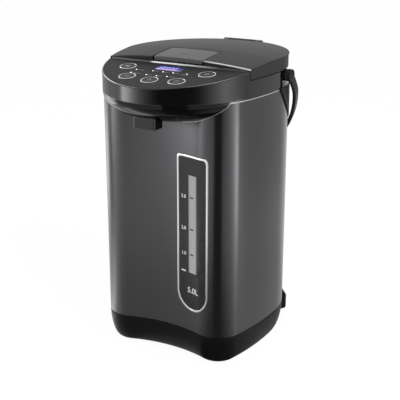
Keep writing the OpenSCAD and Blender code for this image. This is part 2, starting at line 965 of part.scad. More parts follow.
module under_cover() placed() color([0.09, 0.09, 0.095]) {
    difference() {
        union() {
            difference() {
                loft(chin_slices(0));
                translate([0, 0, eps])
                    loft(chin_slices(chin_wall));
            }
            intersection() {
                loft(chin_slices(0.5));
                translate(spout_c)
                    box(-spout_half - 2.4, spout_half + 2.4, -spout_depth / 2 - 2.4, spout_depth / 2 + 2.4,
                        chin_low - 5, spout_top);
            }
        }
        prism(jacket(-0.1), 0, far);
        behind(-corner_y - 2, 0, far);
        translate(spout_c)
            box(-spout_half - seat_gap, spout_half + seat_gap, -spout_depth / 2 - seat_gap,
                spout_depth / 2 + seat_gap, 0, far);
    }
}

// ---------------------------------------------------------------- inner pot

pot_corner = 15;
spigot_r = 9;
spigot_low = pot_low - 10;
lap = 6;
flange_out = mouth_r + 18;

function quarter(c, r, a0, a1) = [for (i = [0 : 6]) polar(c, r, a0 + (a1 - a0) * i / 6)];

module inner_pot() placed() color([0.8, 0.81, 0.82]) {
    on_pot_axis()
        rotate_extrude($fn = 96)
            polygon(concat(
                [[spigot_r - pot_wall, spigot_low], [spigot_r, spigot_low], [spigot_r, pot_low]],
                quarter([pot_r - pot_corner, pot_low + pot_corner], pot_corner, -90, 0),
                [[pot_r, pot_top], [pot_r - pot_wall, pot_top]],
                quarter([pot_r - pot_corner, pot_low + pot_corner], pot_corner - pot_wall, 0, -90),
                [[spigot_r - pot_wall, pot_low + pot_wall]]
            ));
}

module mouth_ring() placed() color([0.78, 0.79, 0.8]) {
    ro = pot_r + 0.15 + pot_wall;
    zt = flange_top - flange_t;
    on_pot_axis()
        rotate_extrude($fn = 96)
            polygon([
                [pot_r + 0.15, pot_top - lap], [ro, pot_top - lap], [ro, pot_top + 0.8],
                [mouth_r + 1.2, zt], [flange_out, zt], [flange_out, flange_top], [mouth_r, flange_top],
                [mouth_r, zt - 0.6], [pot_r + 0.15, pot_top + 0.2]
            ]);
}

module pot_gasket() placed() color([0.85, 0.85, 0.83]) {
    on_pot_axis()
        tube(mouth_r + 14, deck_hole_r + 0.5, flange_top, deck_low);
}

module insulation_sleeve() placed() color([0.85, 0.84, 0.78]) {
    on_pot_axis()
        tube(pot_r + pass_gap + wool_t, pot_r + pass_gap, pot_low + pot_corner, pot_top - lap - 2);
}

heater_top = pot_low - 0.3;
heater_low = heater_top - 8;

module heater_plate() placed() color([0.65, 0.65, 0.66]) {
    on_pot_axis()
        difference() {
            tube(pot_r - 15, 25, heater_low, heater_top);
            tube(52, 42, heater_low - 1, heater_low + 3);
        }
}

module thermostats() placed() color([0.55, 0.52, 0.45]) {
    on_pot_axis()
        for (a = [75, 205])
            rotate([0, 0, a])
                translate([34, 0, heater_low - 9]) {
                    cylinder(r = 7, h = 9);
                    translate([-1.5, -9.5, 2])
                        cube([3, 19, 1]);
                }
}

module pot_brackets() placed() color([0.6, 0.61, 0.62]) {
    r0 = 62;
    t = 1.6;
    on_pot_axis()
        for (a = [20, 140, 260])
            rotate([0, 0, a]) {
                box(r0 - t, r0, -7, 7, plate_top, heater_low);
                box(r0 - 12, r0, -7, 7, plate_top, plate_top + t);
                box(r0 - 6, r0, -7, 7, heater_low - t, heater_low);
            }
}

// ---------------------------------------------------------------- pump

pump_low = 38;
pump_roof = 50;
pump_top = 54;
cover_t = 2;
chamber_r = pump_r - 5;
inlet_bore = spigot_r - 1.5;
inlet_top = pump_top + 6;
pump_screw_r = 1.2;
pump_screw_ring = (pump_r + chamber_r) / 2;
pump_screw_turn = [90, 210, 330];
skirt_low = ear_z;
can_top = pump_low - cover_t - 4;
magnet_top = pump_low - cover_t - 0.6;

module intake_sleeve() placed() color([0.85, 0.84, 0.8]) {
    on_pot_axis()
        tube(spigot_r + 2.5, spigot_r + run_gap, pump_top + 0.5, pot_low - 1.5);
}

module pump_body() placed() color([0.88, 0.87, 0.84]) {
    on_pot_axis()
        difference() {
            union() {
                translate([0, 0, pump_low])
                    cylinder(r = pump_r, h = pump_top - pump_low);
                translate([0, 0, pump_top - eps])
                    cylinder(r = spigot_r, h = inlet_top - pump_top);
                rotate([0, 0, outlet_turn])
                    bar(chamber_r + 1, pump_r + 12, 0, outlet_z, tube_r);
            }
            translate([0, 0, pump_low - 1])
                cylinder(r = chamber_r, h = pump_roof - pump_low + 1);
            translate([0, 0, pump_roof - 1])
                cylinder(r = inlet_bore, h = 20);
            rotate([0, 0, outlet_turn])
                bar(chamber_r - 4, pump_r + 20, 0, outlet_z, tube_bore);
            for (a = pump_screw_turn)
                rotate([0, 0, a])
                    translate([pump_screw_ring, 0, pump_low - 1])
                        cylinder(r = pump_screw_r + run_gap, h = 9, $fn = 32);
        }
}

module pump_cover() placed() color([0.3, 0.3, 0.32]) {
    on_pot_axis() {
        difference() {
            union() {
                translate([0, 0, pump_low - cover_t])
                    cylinder(r = pump_r, h = cover_t);
                tube(pump_r, motor_r + 0.2, skirt_low, pump_low - cover_t + eps);
                for (a = ear_turn)
                    rotate([0, 0, a])
                        difference() {
                            box(pump_r - 1, ear_reach + 1, -4, 4, ear_z, ear_z + ear_t);
                            cylinder(r = pump_r - 0.5, h = 100);
                        }
            }
            for (a = pump_screw_turn)
                rotate([0, 0, a])
                    translate([pump_screw_ring, 0, skirt_low - 1])
                        cylinder(r = pump_screw_r + run_gap, h = 30, $fn = 32);
        }
        translate([0, 0, pump_low - eps])
            cylinder(r = wheel_pin_r, h = pump_roof - pump_low - 1);
    }
}

module pump_screws() placed() color([0.6, 0.6, 0.62]) {
    on_pot_axis()
        for (a = pump_screw_turn)
            rotate([0, 0, a])
                translate([pump_screw_ring, 0, 0]) {
                    translate([0, 0, skirt_low - 1.8])
                        cylinder(r = 2.2, h = 1.8, $fn = 32);
                    translate([0, 0, skirt_low - eps])
                        cylinder(r = pump_screw_r, h = pump_low + 7 - skirt_low, $fn = 32);
                }
}

module impeller() placed() color([0.9, 0.9, 0.9]) {
    on_pot_axis()
        difference() {
            union() {
                translate([0, 0, pump_low + 1])
                    cylinder(r = impeller_r, h = 2);
                translate([0, 0, pump_low + 1])
                    cylinder(r = 4, h = 8.5);
                for (a = [0 : 60 : 300])
                    rotate([0, 0, a])
                        box(3.5, impeller_r - 0.5, -0.6, 0.6, pump_low + 2.9, pump_low + 9);
            }
            translate([0, 0, pump_low])
                cylinder(r = wheel_pin_r + run_gap, h = 12);
        }
}

module motor_can() placed() color([0.55, 0.56, 0.57]) {
    on_pot_axis()
        difference() {
            translate([0, 0, motor_low])
                cylinder(r = motor_r, h = can_top - motor_low);
            translate([0, 0, motor_low + 2])
                cylinder(r = motor_r - 1.5, h = can_top - motor_low - 4);
            translate([0, 0, motor_low - 1])
                cylinder(r = shaft_r + run_gap, h = 40);
        }
}

module rotor() placed() color([0.45, 0.42, 0.4]) {
    on_pot_axis() {
        translate([0, 0, motor_low + 0.5])
            cylinder(r = shaft_r, h = magnet_top - motor_low - 0.5);
        translate([0, 0, motor_low + 4])
            cylinder(r = motor_r - 5, h = can_top - motor_low - 8);
        translate([0, 0, can_top + 0.6])
            cylinder(r = motor_r - 4, h = magnet_top - can_top - 0.6);
    }
}

// ---------------------------------------------------------------- power

board_x0 = -74;
board_x1 = -36;
board_y0 = -30;
board_y1 = 32;
relay_w = 19;
relay_l = 22;
relay_h = 18;
coil_l = 16;
coil_h = 14;
can_r = 4;
can_h = 11;

module power_board() placed() color([0.12, 0.32, 0.18]) {
    box(board_x0, board_x1, board_y0, board_y1, board_z, board_z + board_t);
    z = board_z + board_t - eps;
    translate([board_x0 + 4, board_y0 + 6, z])
        cube([relay_w, relay_l, relay_h]);
    translate([board_x0 + 5, board_y1 - 26, z])
        cube([relay_w, coil_l, coil_h]);
    for (y = [board_y0 + 12, board_y0 + 26, board_y1 - 20])
        translate([board_x1 - 7, y, z])
            cylinder(r = can_r, h = can_h);
}

module power_inlet() placed() color([0.12, 0.12, 0.13]) {
    at_inlet()
        difference() {
            box(inlet_in, inlet_out, -inlet_half, inlet_half, inlet_z - inlet_h / 2, inlet_z + inlet_h / 2);
            box(inlet_in + 7, inlet_out + 1, -inlet_half + 2.4, inlet_half - 2.4,
                inlet_z - inlet_h / 2 + 2.2, inlet_z + inlet_h / 2 - 2.2);
            for (s = [-1, 1])
                bar(inlet_in - 1, inlet_in + 8, s * 5.4, inlet_z, 1.5 + run_gap);
        }
}

module inlet_pins() placed() color([0.8, 0.76, 0.6]) {
    at_inlet()
        for (s = [-1, 1])
            bar(inlet_in - 5, inlet_in + 16, s * 5.4, inlet_z, 1.5);
}

// ---------------------------------------------------------------- hinge and handle pins

hinge_back = back_y + back_r - collar_wall - pass_gap;
tower_half = 18.5;
tower_front = hinge_y - knuckle_r;
hinge_screw_at = [[14, hinge_y - 16], [-14, hinge_y - 16]];
bracket_t = 3;
barrel_half = 18;

module hinge_bracket() placed() color([0.12, 0.12, 0.13]) {
    difference() {
        union() {
            box(-hinge_half, hinge_half, hinge_screw_at[0].y - 5, hinge_back - 3.3,
                deck_top, deck_top + bracket_t);
            both_sides() {
                box(tower_half, hinge_half, tower_front, hinge_back - 0.4, deck_top, hinge_z);
                bar(tower_half, hinge_half, hinge_y, hinge_z, knuckle_r);
            }
        }
        bar(-far, far, hinge_y, hinge_z, hinge_pin_r + run_gap);
        for (p = hinge_screw_at)
            translate([p.x, p.y, deck_top - 1])
                cylinder(r = screw_r + seat_gap, h = bracket_t + 2);
        shell(egg(-9), egg(collar_wall + pass_gap), deck_low, rim_z + pass_gap);
    }
}

module hinge_pin() placed() color([0.7, 0.71, 0.72]) {
    bar(-hinge_half + 0.3, hinge_half - 0.3, hinge_y, hinge_z, hinge_pin_r);
}

module hinge_screws() placed() color([0.6, 0.6, 0.62]) {
    for (p = hinge_screw_at)
        translate([p.x, p.y, deck_top + bracket_t])
            mirror([0, 0, 1])
                screw_up(bracket_t + deck_t - 0.2);
}

cap_r = 5;
cap_t = 1.7;
cap_in = hub_out - cap_t - pass_gap;

module handle_pins() placed() color([0.16, 0.16, 0.17]) {
    both_sides() {
        bar(pin_in + 1, cap_in + eps, pivot_y, pivot_z, pivot_r);
        bar(cap_in, cap_in + cap_t, pivot_y, pivot_z, cap_r);
    }
}

// ---------------------------------------------------------------- handle

// The bow is round behind the jacket and runs straight, at the hubs' width, beside the collar
side_blend = 120;
function narrowed(x, side) = x * pow(1 + pow(abs(x) / side, side_blend), -1 / side_blend);
function bail_line(r, side) =
    let (a0 = asin((pivot_y - back_y) / r), n = 44)
    [for (i = [0 : n])
        let (a = a0 + (180 - 2 * a0) * i / n)
        [narrowed(r * cos(a), side), (back_y + r * sin(a) - pivot_y) / cos(bail_drop)]];

module handle() placed() color([0.15, 0.15, 0.16]) {
    inner = bail_line(bail_in, hub_out - bail_t);
    difference() {
        union() {
            translate([0, pivot_y, pivot_z])
                rotate([-bail_drop, 0, 0])
                    translate([0, 0, -bail_w / 2])
                        linear_extrude(bail_w)
                            polygon(concat(
                                bail_line(bail_in + bail_t, hub_out),
                                [for (i = [len(inner) - 1 : -1 : 0]) inner[i]]
                            ));
            both_sides()
                bar(hub_face, hub_out, pivot_y, pivot_z, hub_r);
        }
        both_sides() {
            bar(hub_face - 1, far, pivot_y, pivot_z, pivot_r + run_gap);
            bar(cap_in - pass_gap, far, pivot_y, pivot_z, cap_r + 0.5);
        }
    }
}

// ---------------------------------------------------------------- lid

notch_in = hinge_half + 1;
notch_y = tower_front - 1;
tub_half = latch_half + 0.6;
tub_back = -latch_y + 3.5;
tub_floor = latch_low - 5.3;
tub_t = 1.8;
side_step = 0.8;
plate_low = lid_low + 0.5;
plate_up = plate_low + 2;
lid_screw_back = polar(back_c, back_r - 20.7, 41);
lid_screw_at = [[62, -22], lid_screw_back, [-lid_screw_back.x, lid_screw_back.y], [-62, -22]];
base_screw_l = 12;
lid_screw_l = 10;

crown_fn = 480;

module crown(d) {
    intersection() {
        translate([0, back_y, crown_z - crown_r])
            sphere(r = crown_r - d, $fn = crown_fn);
        translate([0, crease_y, sphere_z(crease_y)])
            rotate([crease_tilt, 0, 0])
                translate([0, back_y - crease_y, crown_z - crown_r - sphere_z(crease_y)])
                    sphere(r = crown_r - d, $fn = crown_fn);
    }
}

// Body of the lid, d inside its outer face, open downwards from z0
module lid_form(d, z0) {
    intersection() {
        difference() {
            prism(egg(d), z0, crown_z + 5);
            ahead(-lid_front + d, 0, far);
            shell(egg(-5), egg(d + side_step), 0, crown_z - 7.2 - (d > 0 ? d : 0));
            box(-notch_in - d, notch_in + d, notch_y - d, far, 0, far);
        }
        crown(d);
    }
}

module lid_outer() placed() color([0.3, 0.3, 0.31]) {
    difference() {
        union() {
            difference() {
                lid_form(0, lid_low);
                lid_form(lid_wall, lid_low - 1);
            }
            intersection() {
                lid_form(0, lid_low);
                box(-tub_half - lid_wall, tub_half + lid_wall, -far, tub_back + lid_wall,
                    tub_floor - tub_t, crown_z + 1);
            }
            for (p = lid_screw_at)
                intersection() {
                    lid_form(0.5, lid_low);
                    translate([p.x, p.y, plate_up])
                        cylinder(r = 4, h = 40);
                }
            box(-barrel_half + 0.5, barrel_half - 0.5, notch_y - 1, hinge_y, hinge_z - 6, hinge_z + 5);
            bar(-barrel_half, barrel_half, hinge_y, hinge_z, knuckle_r);
        }
        box(-tub_half, tub_half, -far, tub_back, tub_floor, far);
        box(-9, 9, -44, -16, tub_floor - 10, tub_floor + 1);
        box(-bolt_half - 0.6, bolt_half + 0.6, -far, -lid_front + lid_wall + 1,
            bolt_low - 0.4, bolt_top + 0.2);
        bar(-tub_half - 1.6, tub_half + 1.6, -latch_y, latch_z, latch_pin_r + run_gap);
        bar(-far, far, hinge_y, hinge_z, hinge_pin_r + run_gap);
        for (p = lid_screw_at)
            translate([p.x, p.y, plate_low])
                cylinder(r = screw_r, h = 12);
        for (a = [118 : 4 : 134])
            translate([0, back_y, 0])
                rotate([0, 0, a])
                    box(back_r - 8, back_r + 5, -1, 1, lid_low + 4, lid_low + 9);
    }
}

cup_r = mouth_r - 3.5;
cup_low = flange_top - 7.2;

module lid_inner() placed() color([0.75, 0.76, 0.77]) {
    difference() {
        union() {
            intersection() {
                prism(egg(lid_wall + side_step + 0.3), plate_low, plate_up);
                behind(-lid_front + lid_wall + 0.3, 0, far);
            }
            on_pot_axis() {
                translate([0, 0, cup_low])
                    cylinder(r = cup_r, h = plate_up - cup_low);
                translate([0, 0, deck_top + 0.3])
                    cylinder(r = mouth_r + 6, h = 2);
            }
            for (s = [-1, 1])
                box(s * (bolt_half + 2) - 1.5, s * (bolt_half + 2) + 1.5, -44, -20, plate_up - eps,
                    tub_floor - tub_t - 0.2);
        }
        on_pot_axis()
            translate([0, 0, cup_low + 2])
                cylinder(r = cup_r - 2, h = 60);
        box(-notch_in - 3.5, notch_in + 3.5, notch_y - 3.1, far, 0, far);
        on_pot_axis()
            for (a = [0 : 60 : 300])
                rotate([0, 0, a])
                    translate([8, 0, cup_low - 1])
                        cylinder(r = 2, h = 5, $fn = 24);
        for (p = lid_screw_at)
            translate([p.x, p.y, 0])
                cylinder(r = screw_r + seat_gap, h = far);
    }
}

module lid_gasket() placed() color([0.84, 0.84, 0.82]) {
    on_pot_axis()
        tube(mouth_r + 6.5, cup_r + 0.2, flange_top + 0.3, deck_top + 0.2);
}

module lid_screws() placed() color([0.6, 0.6, 0.62]) {
    for (p = lid_screw_at)
        translate([p.x, p.y, plate_low])
            screw_up(lid_screw_l);
}

module steam_valve() placed() color([0.5, 0.5, 0.52]) {
    on_pot_axis()
        difference() {
            translate([0, 0, cup_low + 2])
                cylinder(r = 14, h = 20);
            translate([0, 0, cup_low + 1])
                cylinder(r = 11.5, h = 18);
            translate([0, 0, cup_low + 2])
                cylinder(r = 3, h = 30);
        }
}

// ---------------------------------------------------------------- latch

bolt_low = plate_up + 0.3;
bolt_top = tub_floor - tub_t - pass_gap;
cross_y = -30;
cross_z = latch_z - 12.3;
cross_r = 1.2;
foot_half = 5.5;
lever_turn = 18;
bolt_travel = 4;
nose_gap = 0.8;
nose_slope = 3;
coil_x = 10;
coil_turns = 4;
wire_r = 0.35;
coil_r = latch_pin_r + wire_r + 0.15;

// Where the lever's cross pin has gone after a turn, as seen from the bolt
function cross_shift(a) =
    let (dy = cross_y + latch_y, dz = cross_z - latch_z)
    [dy * cos(a) + dz * sin(a) - dy - bolt_travel * a / lever_turn, -dy * sin(a) + dz * cos(a) - dz];

module latch_pin() placed() color([0.7, 0.71, 0.72]) {
    bar(-tub_half - 1.4, tub_half + 1.4, -latch_y, latch_z, latch_pin_r);
}

module latch_lever() placed() color([0.42, 0.42, 0.43]) {
    difference() {
        union() {
            intersection() {
                box(-latch_half, latch_half, -lid_front + 0.2, -latch_y + 2.3, latch_low, crown_z + 1);
                crown(0);
            }
            box(-foot_half, foot_half, cross_y - 3, cross_y + 3, cross_z - 1.8, latch_low + 1);
            bar(-8.2, 8.2, cross_y, cross_z, cross_r);
        }
        bar(-far, far, -latch_y, latch_z, latch_pin_r + run_gap);
        box(coil_x - 1, coil_x + 5, -latch_y - 5.5, 0, latch_low - 1, latch_z + coil_r + wire_r + 0.3);
    }
}

module latch_spring() placed() color([0.65, 0.66, 0.67]) {
    pitch = 2 * wire_r;
    length = coil_turns * pitch;
    translate([coil_x, -latch_y, latch_z])
        rotate([0, 90, 0])
            rotate_extrude($fn = 32)
                polygon(concat(
                    [[coil_r - wire_r, length], [coil_r - wire_r, 0]],
                    [for (i = [0 : 4 * coil_turns])
                        [coil_r + wire_r * abs(sin(45 * i)), length * i / 4 / coil_turns]]
                ));
    translate([coil_x + wire_r, -latch_y, latch_z + coil_r])
        rotate([90, 0, 0])
            cylinder(r = wire_r - eps, h = 5, $fn = 16);
    translate([coil_x + length - wire_r, -latch_y - coil_r, latch_z])
        mirror([0, 0, 1])
            cylinder(r = wire_r - eps, h = latch_z - tub_floor - 0.1, $fn = 16);
}

// Slot along X whose middle line runs from point a to point b in the YZ plane
module slot(a, b, r, half) {
    len = norm(b - a);
    bar(-half, half, a.x, a.y, r);
    bar(-half, half, b.x, b.y, r);
    translate([0, a.x, a.y])
        rotate([bearing(a, b), 0, 0])
            translate([-half, 0, -r])
                cube([2 * half, len, 2 * r]);
}

module latch_bolt() placed() color([0.6, 0.6, 0.58]) {
    end = cross_shift(lever_turn);
    difference() {
        union() {
            box(-bolt_half, bolt_half, wall_y + nose_gap, -20, bolt_low, bolt_top);
            both_sides()
                box(foot_half + 0.5, foot_half + 2.5, cross_y - 11, cross_y + 4, bolt_low, latch_low - 0.5);
        }
        translate([-far, wall_y + nose_gap, bolt_low])
            rotate([45, 0, 0])
                translate([0, -nose_slope / 2, -nose_slope / 2])
                    cube([2 * far, nose_slope, nose_slope]);
        box(-foot_half - 0.5, foot_half + 0.5, cross_y - 12, cross_y + 6, 0, far);
        slot([cross_y, cross_z], [cross_y + end.x, cross_z + end.y], cross_r + 0.5, 8.7);
    }
}

outer_body();
base_ring();
base_plate();
rubber_feet();
base_screws();
collar();
panel_fascia();
key_rings();
display_window();
indicator_lenses();
control_board();
tact_switches();
under_cover();
spout_housing();
spout_nozzle();
gauge_bezel();
gauge_fascia();
gauge_lens();
gauge_tube();
gauge_backing();
outlet_elbow();
hose_clamps();
inner_pot();
mouth_ring();
pot_gasket();
insulation_sleeve();
heater_plate();
thermostats();
pot_brackets();
intake_sleeve();
pump_body();
pump_cover();
pump_screws();
motor_can();
outlet_hose();
power_board();
power_inlet();
inlet_pins();
hinge_bracket();
hinge_pin();
hinge_screws();
handle_pins();
lid_outer();
lid_inner();
lid_gasket();
lid_screws();
steam_valve();
latch_pin();
latch_spring();
latch_lever();
latch_bolt();
handle();
unlock_key();
reboil_key();
dispense_key();
keep_warm_key();
power_key();
impeller();
rotor();
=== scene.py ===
"""Electric thermo pot with a steel jacket, a nosed collar, a latched lid and a swinging handle."""

import math

import bmesh
import bpy
import numpy as np
from bpy.props import FloatProperty, FloatVectorProperty, PointerProperty
from mathutils import Matrix, Vector
from mathutils.geometry import delaunay_2d_cdt


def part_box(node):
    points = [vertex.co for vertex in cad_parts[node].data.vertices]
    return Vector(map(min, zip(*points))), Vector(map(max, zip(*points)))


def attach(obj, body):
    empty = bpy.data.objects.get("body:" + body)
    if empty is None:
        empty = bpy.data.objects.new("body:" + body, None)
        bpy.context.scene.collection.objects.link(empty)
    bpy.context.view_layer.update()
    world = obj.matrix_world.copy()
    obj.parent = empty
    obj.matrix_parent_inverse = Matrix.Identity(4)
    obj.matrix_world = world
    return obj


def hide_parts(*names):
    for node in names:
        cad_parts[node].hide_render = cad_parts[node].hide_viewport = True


bl_info = {
    "name": "Electric Thermo Pot",
    "version": (1, 0, 0),
    "blender": (4, 5, 0),
    "location": "View3D > Sidebar > Thermo Pot",
    "description": "Builds the pieces and finishes of an electric thermo pot",
    "category": "Add Mesh",
}

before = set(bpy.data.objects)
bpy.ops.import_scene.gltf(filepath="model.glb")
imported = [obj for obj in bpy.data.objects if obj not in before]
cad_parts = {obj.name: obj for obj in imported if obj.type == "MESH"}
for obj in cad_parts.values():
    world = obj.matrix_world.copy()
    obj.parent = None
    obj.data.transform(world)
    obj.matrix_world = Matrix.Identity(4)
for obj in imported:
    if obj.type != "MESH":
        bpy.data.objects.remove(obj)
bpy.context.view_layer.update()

# ------------------------------------------------------------------ sizes, in millimetres
# The vessel's own frame has the jacket's middle at its origin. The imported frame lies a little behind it.

MM = 0.001
POT_Y = 18.0
SHIFT_Y = (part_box("inner_pot")[0][1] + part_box("inner_pot")[1][1]) / 2 - POT_Y * MM

BACK_C, BACK_R = np.array([0.0, 15.6]), 97.5
SIDE_R = 320.7
CORNER_C, CORNER_R = np.array([58.6, -57.9]), 30.5
HOLLOW = 21.0
FRONT_R = (CORNER_C[0] ** 2 + HOLLOW**2 - CORNER_R**2) / (2 * (CORNER_R - HOLLOW))
FRONT_C = np.array([0.0, CORNER_C[1] - HOLLOW - FRONT_R])
NOSE_C, NOSE_R, FLANK_R = np.array([0.0, -58.5]), 75.0, 109.6

FOOT_H, FOOT_R = 3.0, 9.0
FEET_FRONT_Y, FEET_BACK = -50.0, (49.88, 62.11)
BASE_TOP, BASE_ROLL, BASE_SEAT = 38.8, 11.6, 2.4
BASE_SCREWS = ((62.0, -66.0), (70.1, 49.8))
INLET_TURN = math.radians(45)
INLET_HALF, INLET_LOW, INLET_TOP = 11.9, 15.9, 32.1
JACKET_TOP, STEEL = 314.8, 0.8
FRONT_CUT, FRONT_CUT_Z = 48.0, 300.0
RIM_Z, COLLAR_WALL = 334.3, 2.5
DECK_TOP, DECK_LOW, DECK_HOLE = 325.0, 322.0, 66.5
POCKET_FRONT, POCKET_BACK, POCKET_DEPTH = 14.0, 75.0, 3.0
APRON_Y, APRON_H, APRON_RUN = 13.5, 46.0, 60.0
WALL_Y, WALL_T = -50.1, 2.4
PANEL_Z, PANEL_TILT = 344.1, math.radians(7.8)
BORDER = 1.4
CHIN_H, CHIN_ROLL, CHIN_Y = 26.5, 54.5, -59.9
CROWN_Z, CROWN_R = 356.5, 795.0
CREASE_Y, CREASE_TILT = 2.0, math.radians(2.5)
LID_FRONT, LID_LOW, LID_STEP_Z = 48.8, 334.8, 349.3
LID_TUCK, LID_WALL, LID_CEILING = 0.8, 2.5, 341.2
HINGE_Y, HINGE_Z, HINGE_R, HINGE_HALF = 109.0, 345.0, 7.5, 18.0
NOTCH_HALF, NOTCH_Y = 26.5, 100.5
LATCH_HALF, LATCH_BACK, LATCH_LOW, LIP_LOW = 31.8, -8.7, 348.3, 346.9
TUB_HALF, TUB_BACK, TUB_FLOOR = 33.2, -7.5, 343.0
SLOT_HALF, SLOT_BACK, SLOT_LOW, SLOT_TOP = 20.6, -45.3, 337.2, 341.1
STEM_Y, STEM_LOW, PEG_Z = -30.0, 338.2, 340.0
PIVOT_Y, PIVOT_Z, PIVOT_R, PIVOT_IN = 38.0, 327.0, 3.4, 84.0
BOSS_X, BOSS_R, BOSS_H = 86.0, 6.9, 9.4
BAIL_IN, BAIL_T, BAIL_W = 104.1, 4.0, 10.2
BAIL_DROP, BAIL_BLEND = math.radians(52), 120
HUB_R, HUB_FACE, HUB_OUT, CAP_R, CAP_T = 7.2, 95.7, 101.4, 5.0, 1.7
GAUGE_X, GAUGE_HALF, GAUGE_LOW, GAUGE_TOP = 39.6, 22.4, 64.5, 252.0
GAUGE_CORNER, GAUGE_LIP, BEZEL_W = 4.0, 1.5, 2.6
WINDOW_HALF, WINDOW_LOW, WINDOW_TOP = 6.2, 112.0, 229.0
LEVELS = ((203.0, "3.0"), (165.3, "2.0"), (134.5, "1.0"))
LEVEL_X, LEVEL_SIZE, DASH_Z = 26.6, 5.6, 113.0
VOLUME_X, VOLUME_Z, VOLUME_SIZE = 40.0, 90.0, 9.5
SPOUT_Y, SPOUT_HALF, SPOUT_DEPTH = -111.0, 13.5, 17.1
SPOUT_LOW, SPOUT_TOP, SPOUT_ROUND = 284.3, 301.5, 0.9
KEY_R = 8.5
KEYS = (
    ("unlock", -51.0, -72.0),
    ("reboil", -31.5, -102.8),
    ("dispense", 0.0, -107.0),
    ("keep_warm", 31.5, -102.8),
    ("power", 51.0, -72.0),
)
LAMPS = (
    (-35.0, -79.0), (-14.0, -78.0), (-1.0, -78.0), (12.0, -78.0), (29.0, -77.0),
    (-35.0, -90.5), (-14.0, -91.5), (-1.0, -91.5), (12.0, -91.0),
)
DISPLAY_Y, DISPLAY_W, DISPLAY_H = -66.0, 33.0, 13.0


# ------------------------------------------------------------------ plan outlines


def bearing(a, b):
    """Direction from one plan point to another."""
    return math.atan2(b[1] - a[1], b[0] - a[0])


def circle_meet(p, rp, q, rq, side):
    """Where two circles meet, on one side of the line between their middles."""
    d = np.linalg.norm(q - p)
    a = (rp**2 - rq**2 + d**2) / (2 * d)
    h = math.sqrt(rp**2 - a**2)
    e = (q - p) / d
    return p + a * e + side * h * np.array([-e[1], e[0]])


SIDE_C = circle_meet(CORNER_C, SIDE_R - CORNER_R, BACK_C, SIDE_R - BACK_R, 1)
FLANK_C = circle_meet(NOSE_C, FLANK_R - NOSE_R, SIDE_C, SIDE_R - FLANK_R, -1)


def arc(centre, radius, a0, a1, steps):
    """Points of an arc, without its last one."""
    turns = np.linspace(a0, a1, steps, endpoint=False)
    return [centre + radius * np.array([math.cos(t), math.sin(t)]) for t in turns]


class Outline:
    """A closed plan curve, anticlockwise, with the vector that moves each point outwards by one."""

    def __init__(self, points):
        self.points = np.array(points, dtype=float)
        ahead = np.roll(self.points, -1, axis=0) - self.points
        ahead /= np.linalg.norm(ahead, axis=1)[:, None]
        out = np.stack([ahead[:, 1], -ahead[:, 0]], axis=1)
        before = np.roll(out, 1, axis=0)
        both = out + before
        self.out = both / (1 + np.sum(out * before, axis=1))[:, None]

    def cut(self, axis, *values):
        """The same curve with a point wherever a coordinate passes one of the values."""
        points = []
        for p, q in zip(self.points, np.roll(self.points, -1, axis=0)):
            points.append(p)
            hits = []
            for value in values:
                a, b = p[axis] - value, q[axis] - value
                if a * b < 0:
                    hits.append(a / (a - b))
            points += [p + (q - p) * t for t in sorted(hits) if 0.001 < t < 0.999]
        return Outline(points)

    def ring(self, inset, z):
        """The curve moved inwards, at a height. Both may be one number or one per point."""
        inset = np.broadcast_to(inset, len(self.points))
        flat = self.points - self.out * inset[:, None]
        return np.column_stack([flat, np.broadcast_to(z, len(flat))])


def whole(half):
    """A closed outline from its right half, front middle to back middle."""
    return Outline(half + [np.array([-p[0], p[1]]) for p in half[-2:0:-1]])


def jacket_outline():
    """The jacket's plan: hollow front, round corners, long flat sides and a round back."""
    af, a1, a2 = bearing(FRONT_C, CORNER_C), bearing(SIDE_C, CORNER_C), bearing(SIDE_C, BACK_C)
    half = arc(FRONT_C, FRONT_R, math.pi / 2, af, 30)
    half += arc(CORNER_C, CORNER_R, af - math.pi, a1, 30)
    half += arc(SIDE_C, SIDE_R, a1, a2, 24)
    half += arc(BACK_C, BACK_R, a2, math.pi / 2, 56)
    return whole(half + [BACK_C + np.array([0, BACK_R])])


def collar_outline():
    """The collar's plan: the jacket's back and sides, run out into a round nose."""
    a0, a1, a2 = bearing(FLANK_C, NOSE_C), bearing(SIDE_C, FLANK_C), bearing(SIDE_C, BACK_C)
    half = arc(NOSE_C, NOSE_R, -math.pi / 2, a0, 40)
    half += arc(FLANK_C, FLANK_R, a0, a1, 30)
    half += arc(SIDE_C, SIDE_R, a1, a2, 14)
    half += arc(BACK_C, BACK_R, a2, math.pi / 2, 56)
    return whole(half + [BACK_C + np.array([0, BACK_R])])


JACKET = jacket_outline()
COLLAR = collar_outline()


def front_y(x):
    """Where the jacket's front wall lies at some distance from the middle."""
    if abs(x) * (FRONT_R + CORNER_R) < CORNER_C[0] * FRONT_R:
        return FRONT_C[1] + math.sqrt(FRONT_R**2 - x * x)
    return CORNER_C[1] - math.sqrt(CORNER_R**2 - (abs(x) - CORNER_C[0]) ** 2)


def on_front(x, z, proud):
    """A point over the jacket's front wall."""
    slope = (front_y(x + 0.05) - front_y(x - 0.05)) / 0.1
    size = math.hypot(1, slope)
    return (x + proud * slope / size, front_y(x) - proud / size, z)


def crown(x, y):
    """Height of the lid's top, which falls away in two slopes with a crease between them."""
    back = CROWN_Z - CROWN_R + math.sqrt(CROWN_R**2 - x * x - (y - BACK_C[1]) ** 2)
    hinge = CROWN_Z - CROWN_R + math.sqrt(CROWN_R**2 - (CREASE_Y - BACK_C[1]) ** 2)
    arm_y, arm_z = BACK_C[1] - CREASE_Y, CROWN_Z - CROWN_R - hinge
    cy = CREASE_Y + arm_y * math.cos(CREASE_TILT) - arm_z * math.sin(CREASE_TILT)
    cz = hinge + arm_y * math.sin(CREASE_TILT) + arm_z * math.cos(CREASE_TILT)
    front = cz + math.sqrt(CROWN_R**2 - x * x - (y - cy) ** 2)
    return min(back, front)


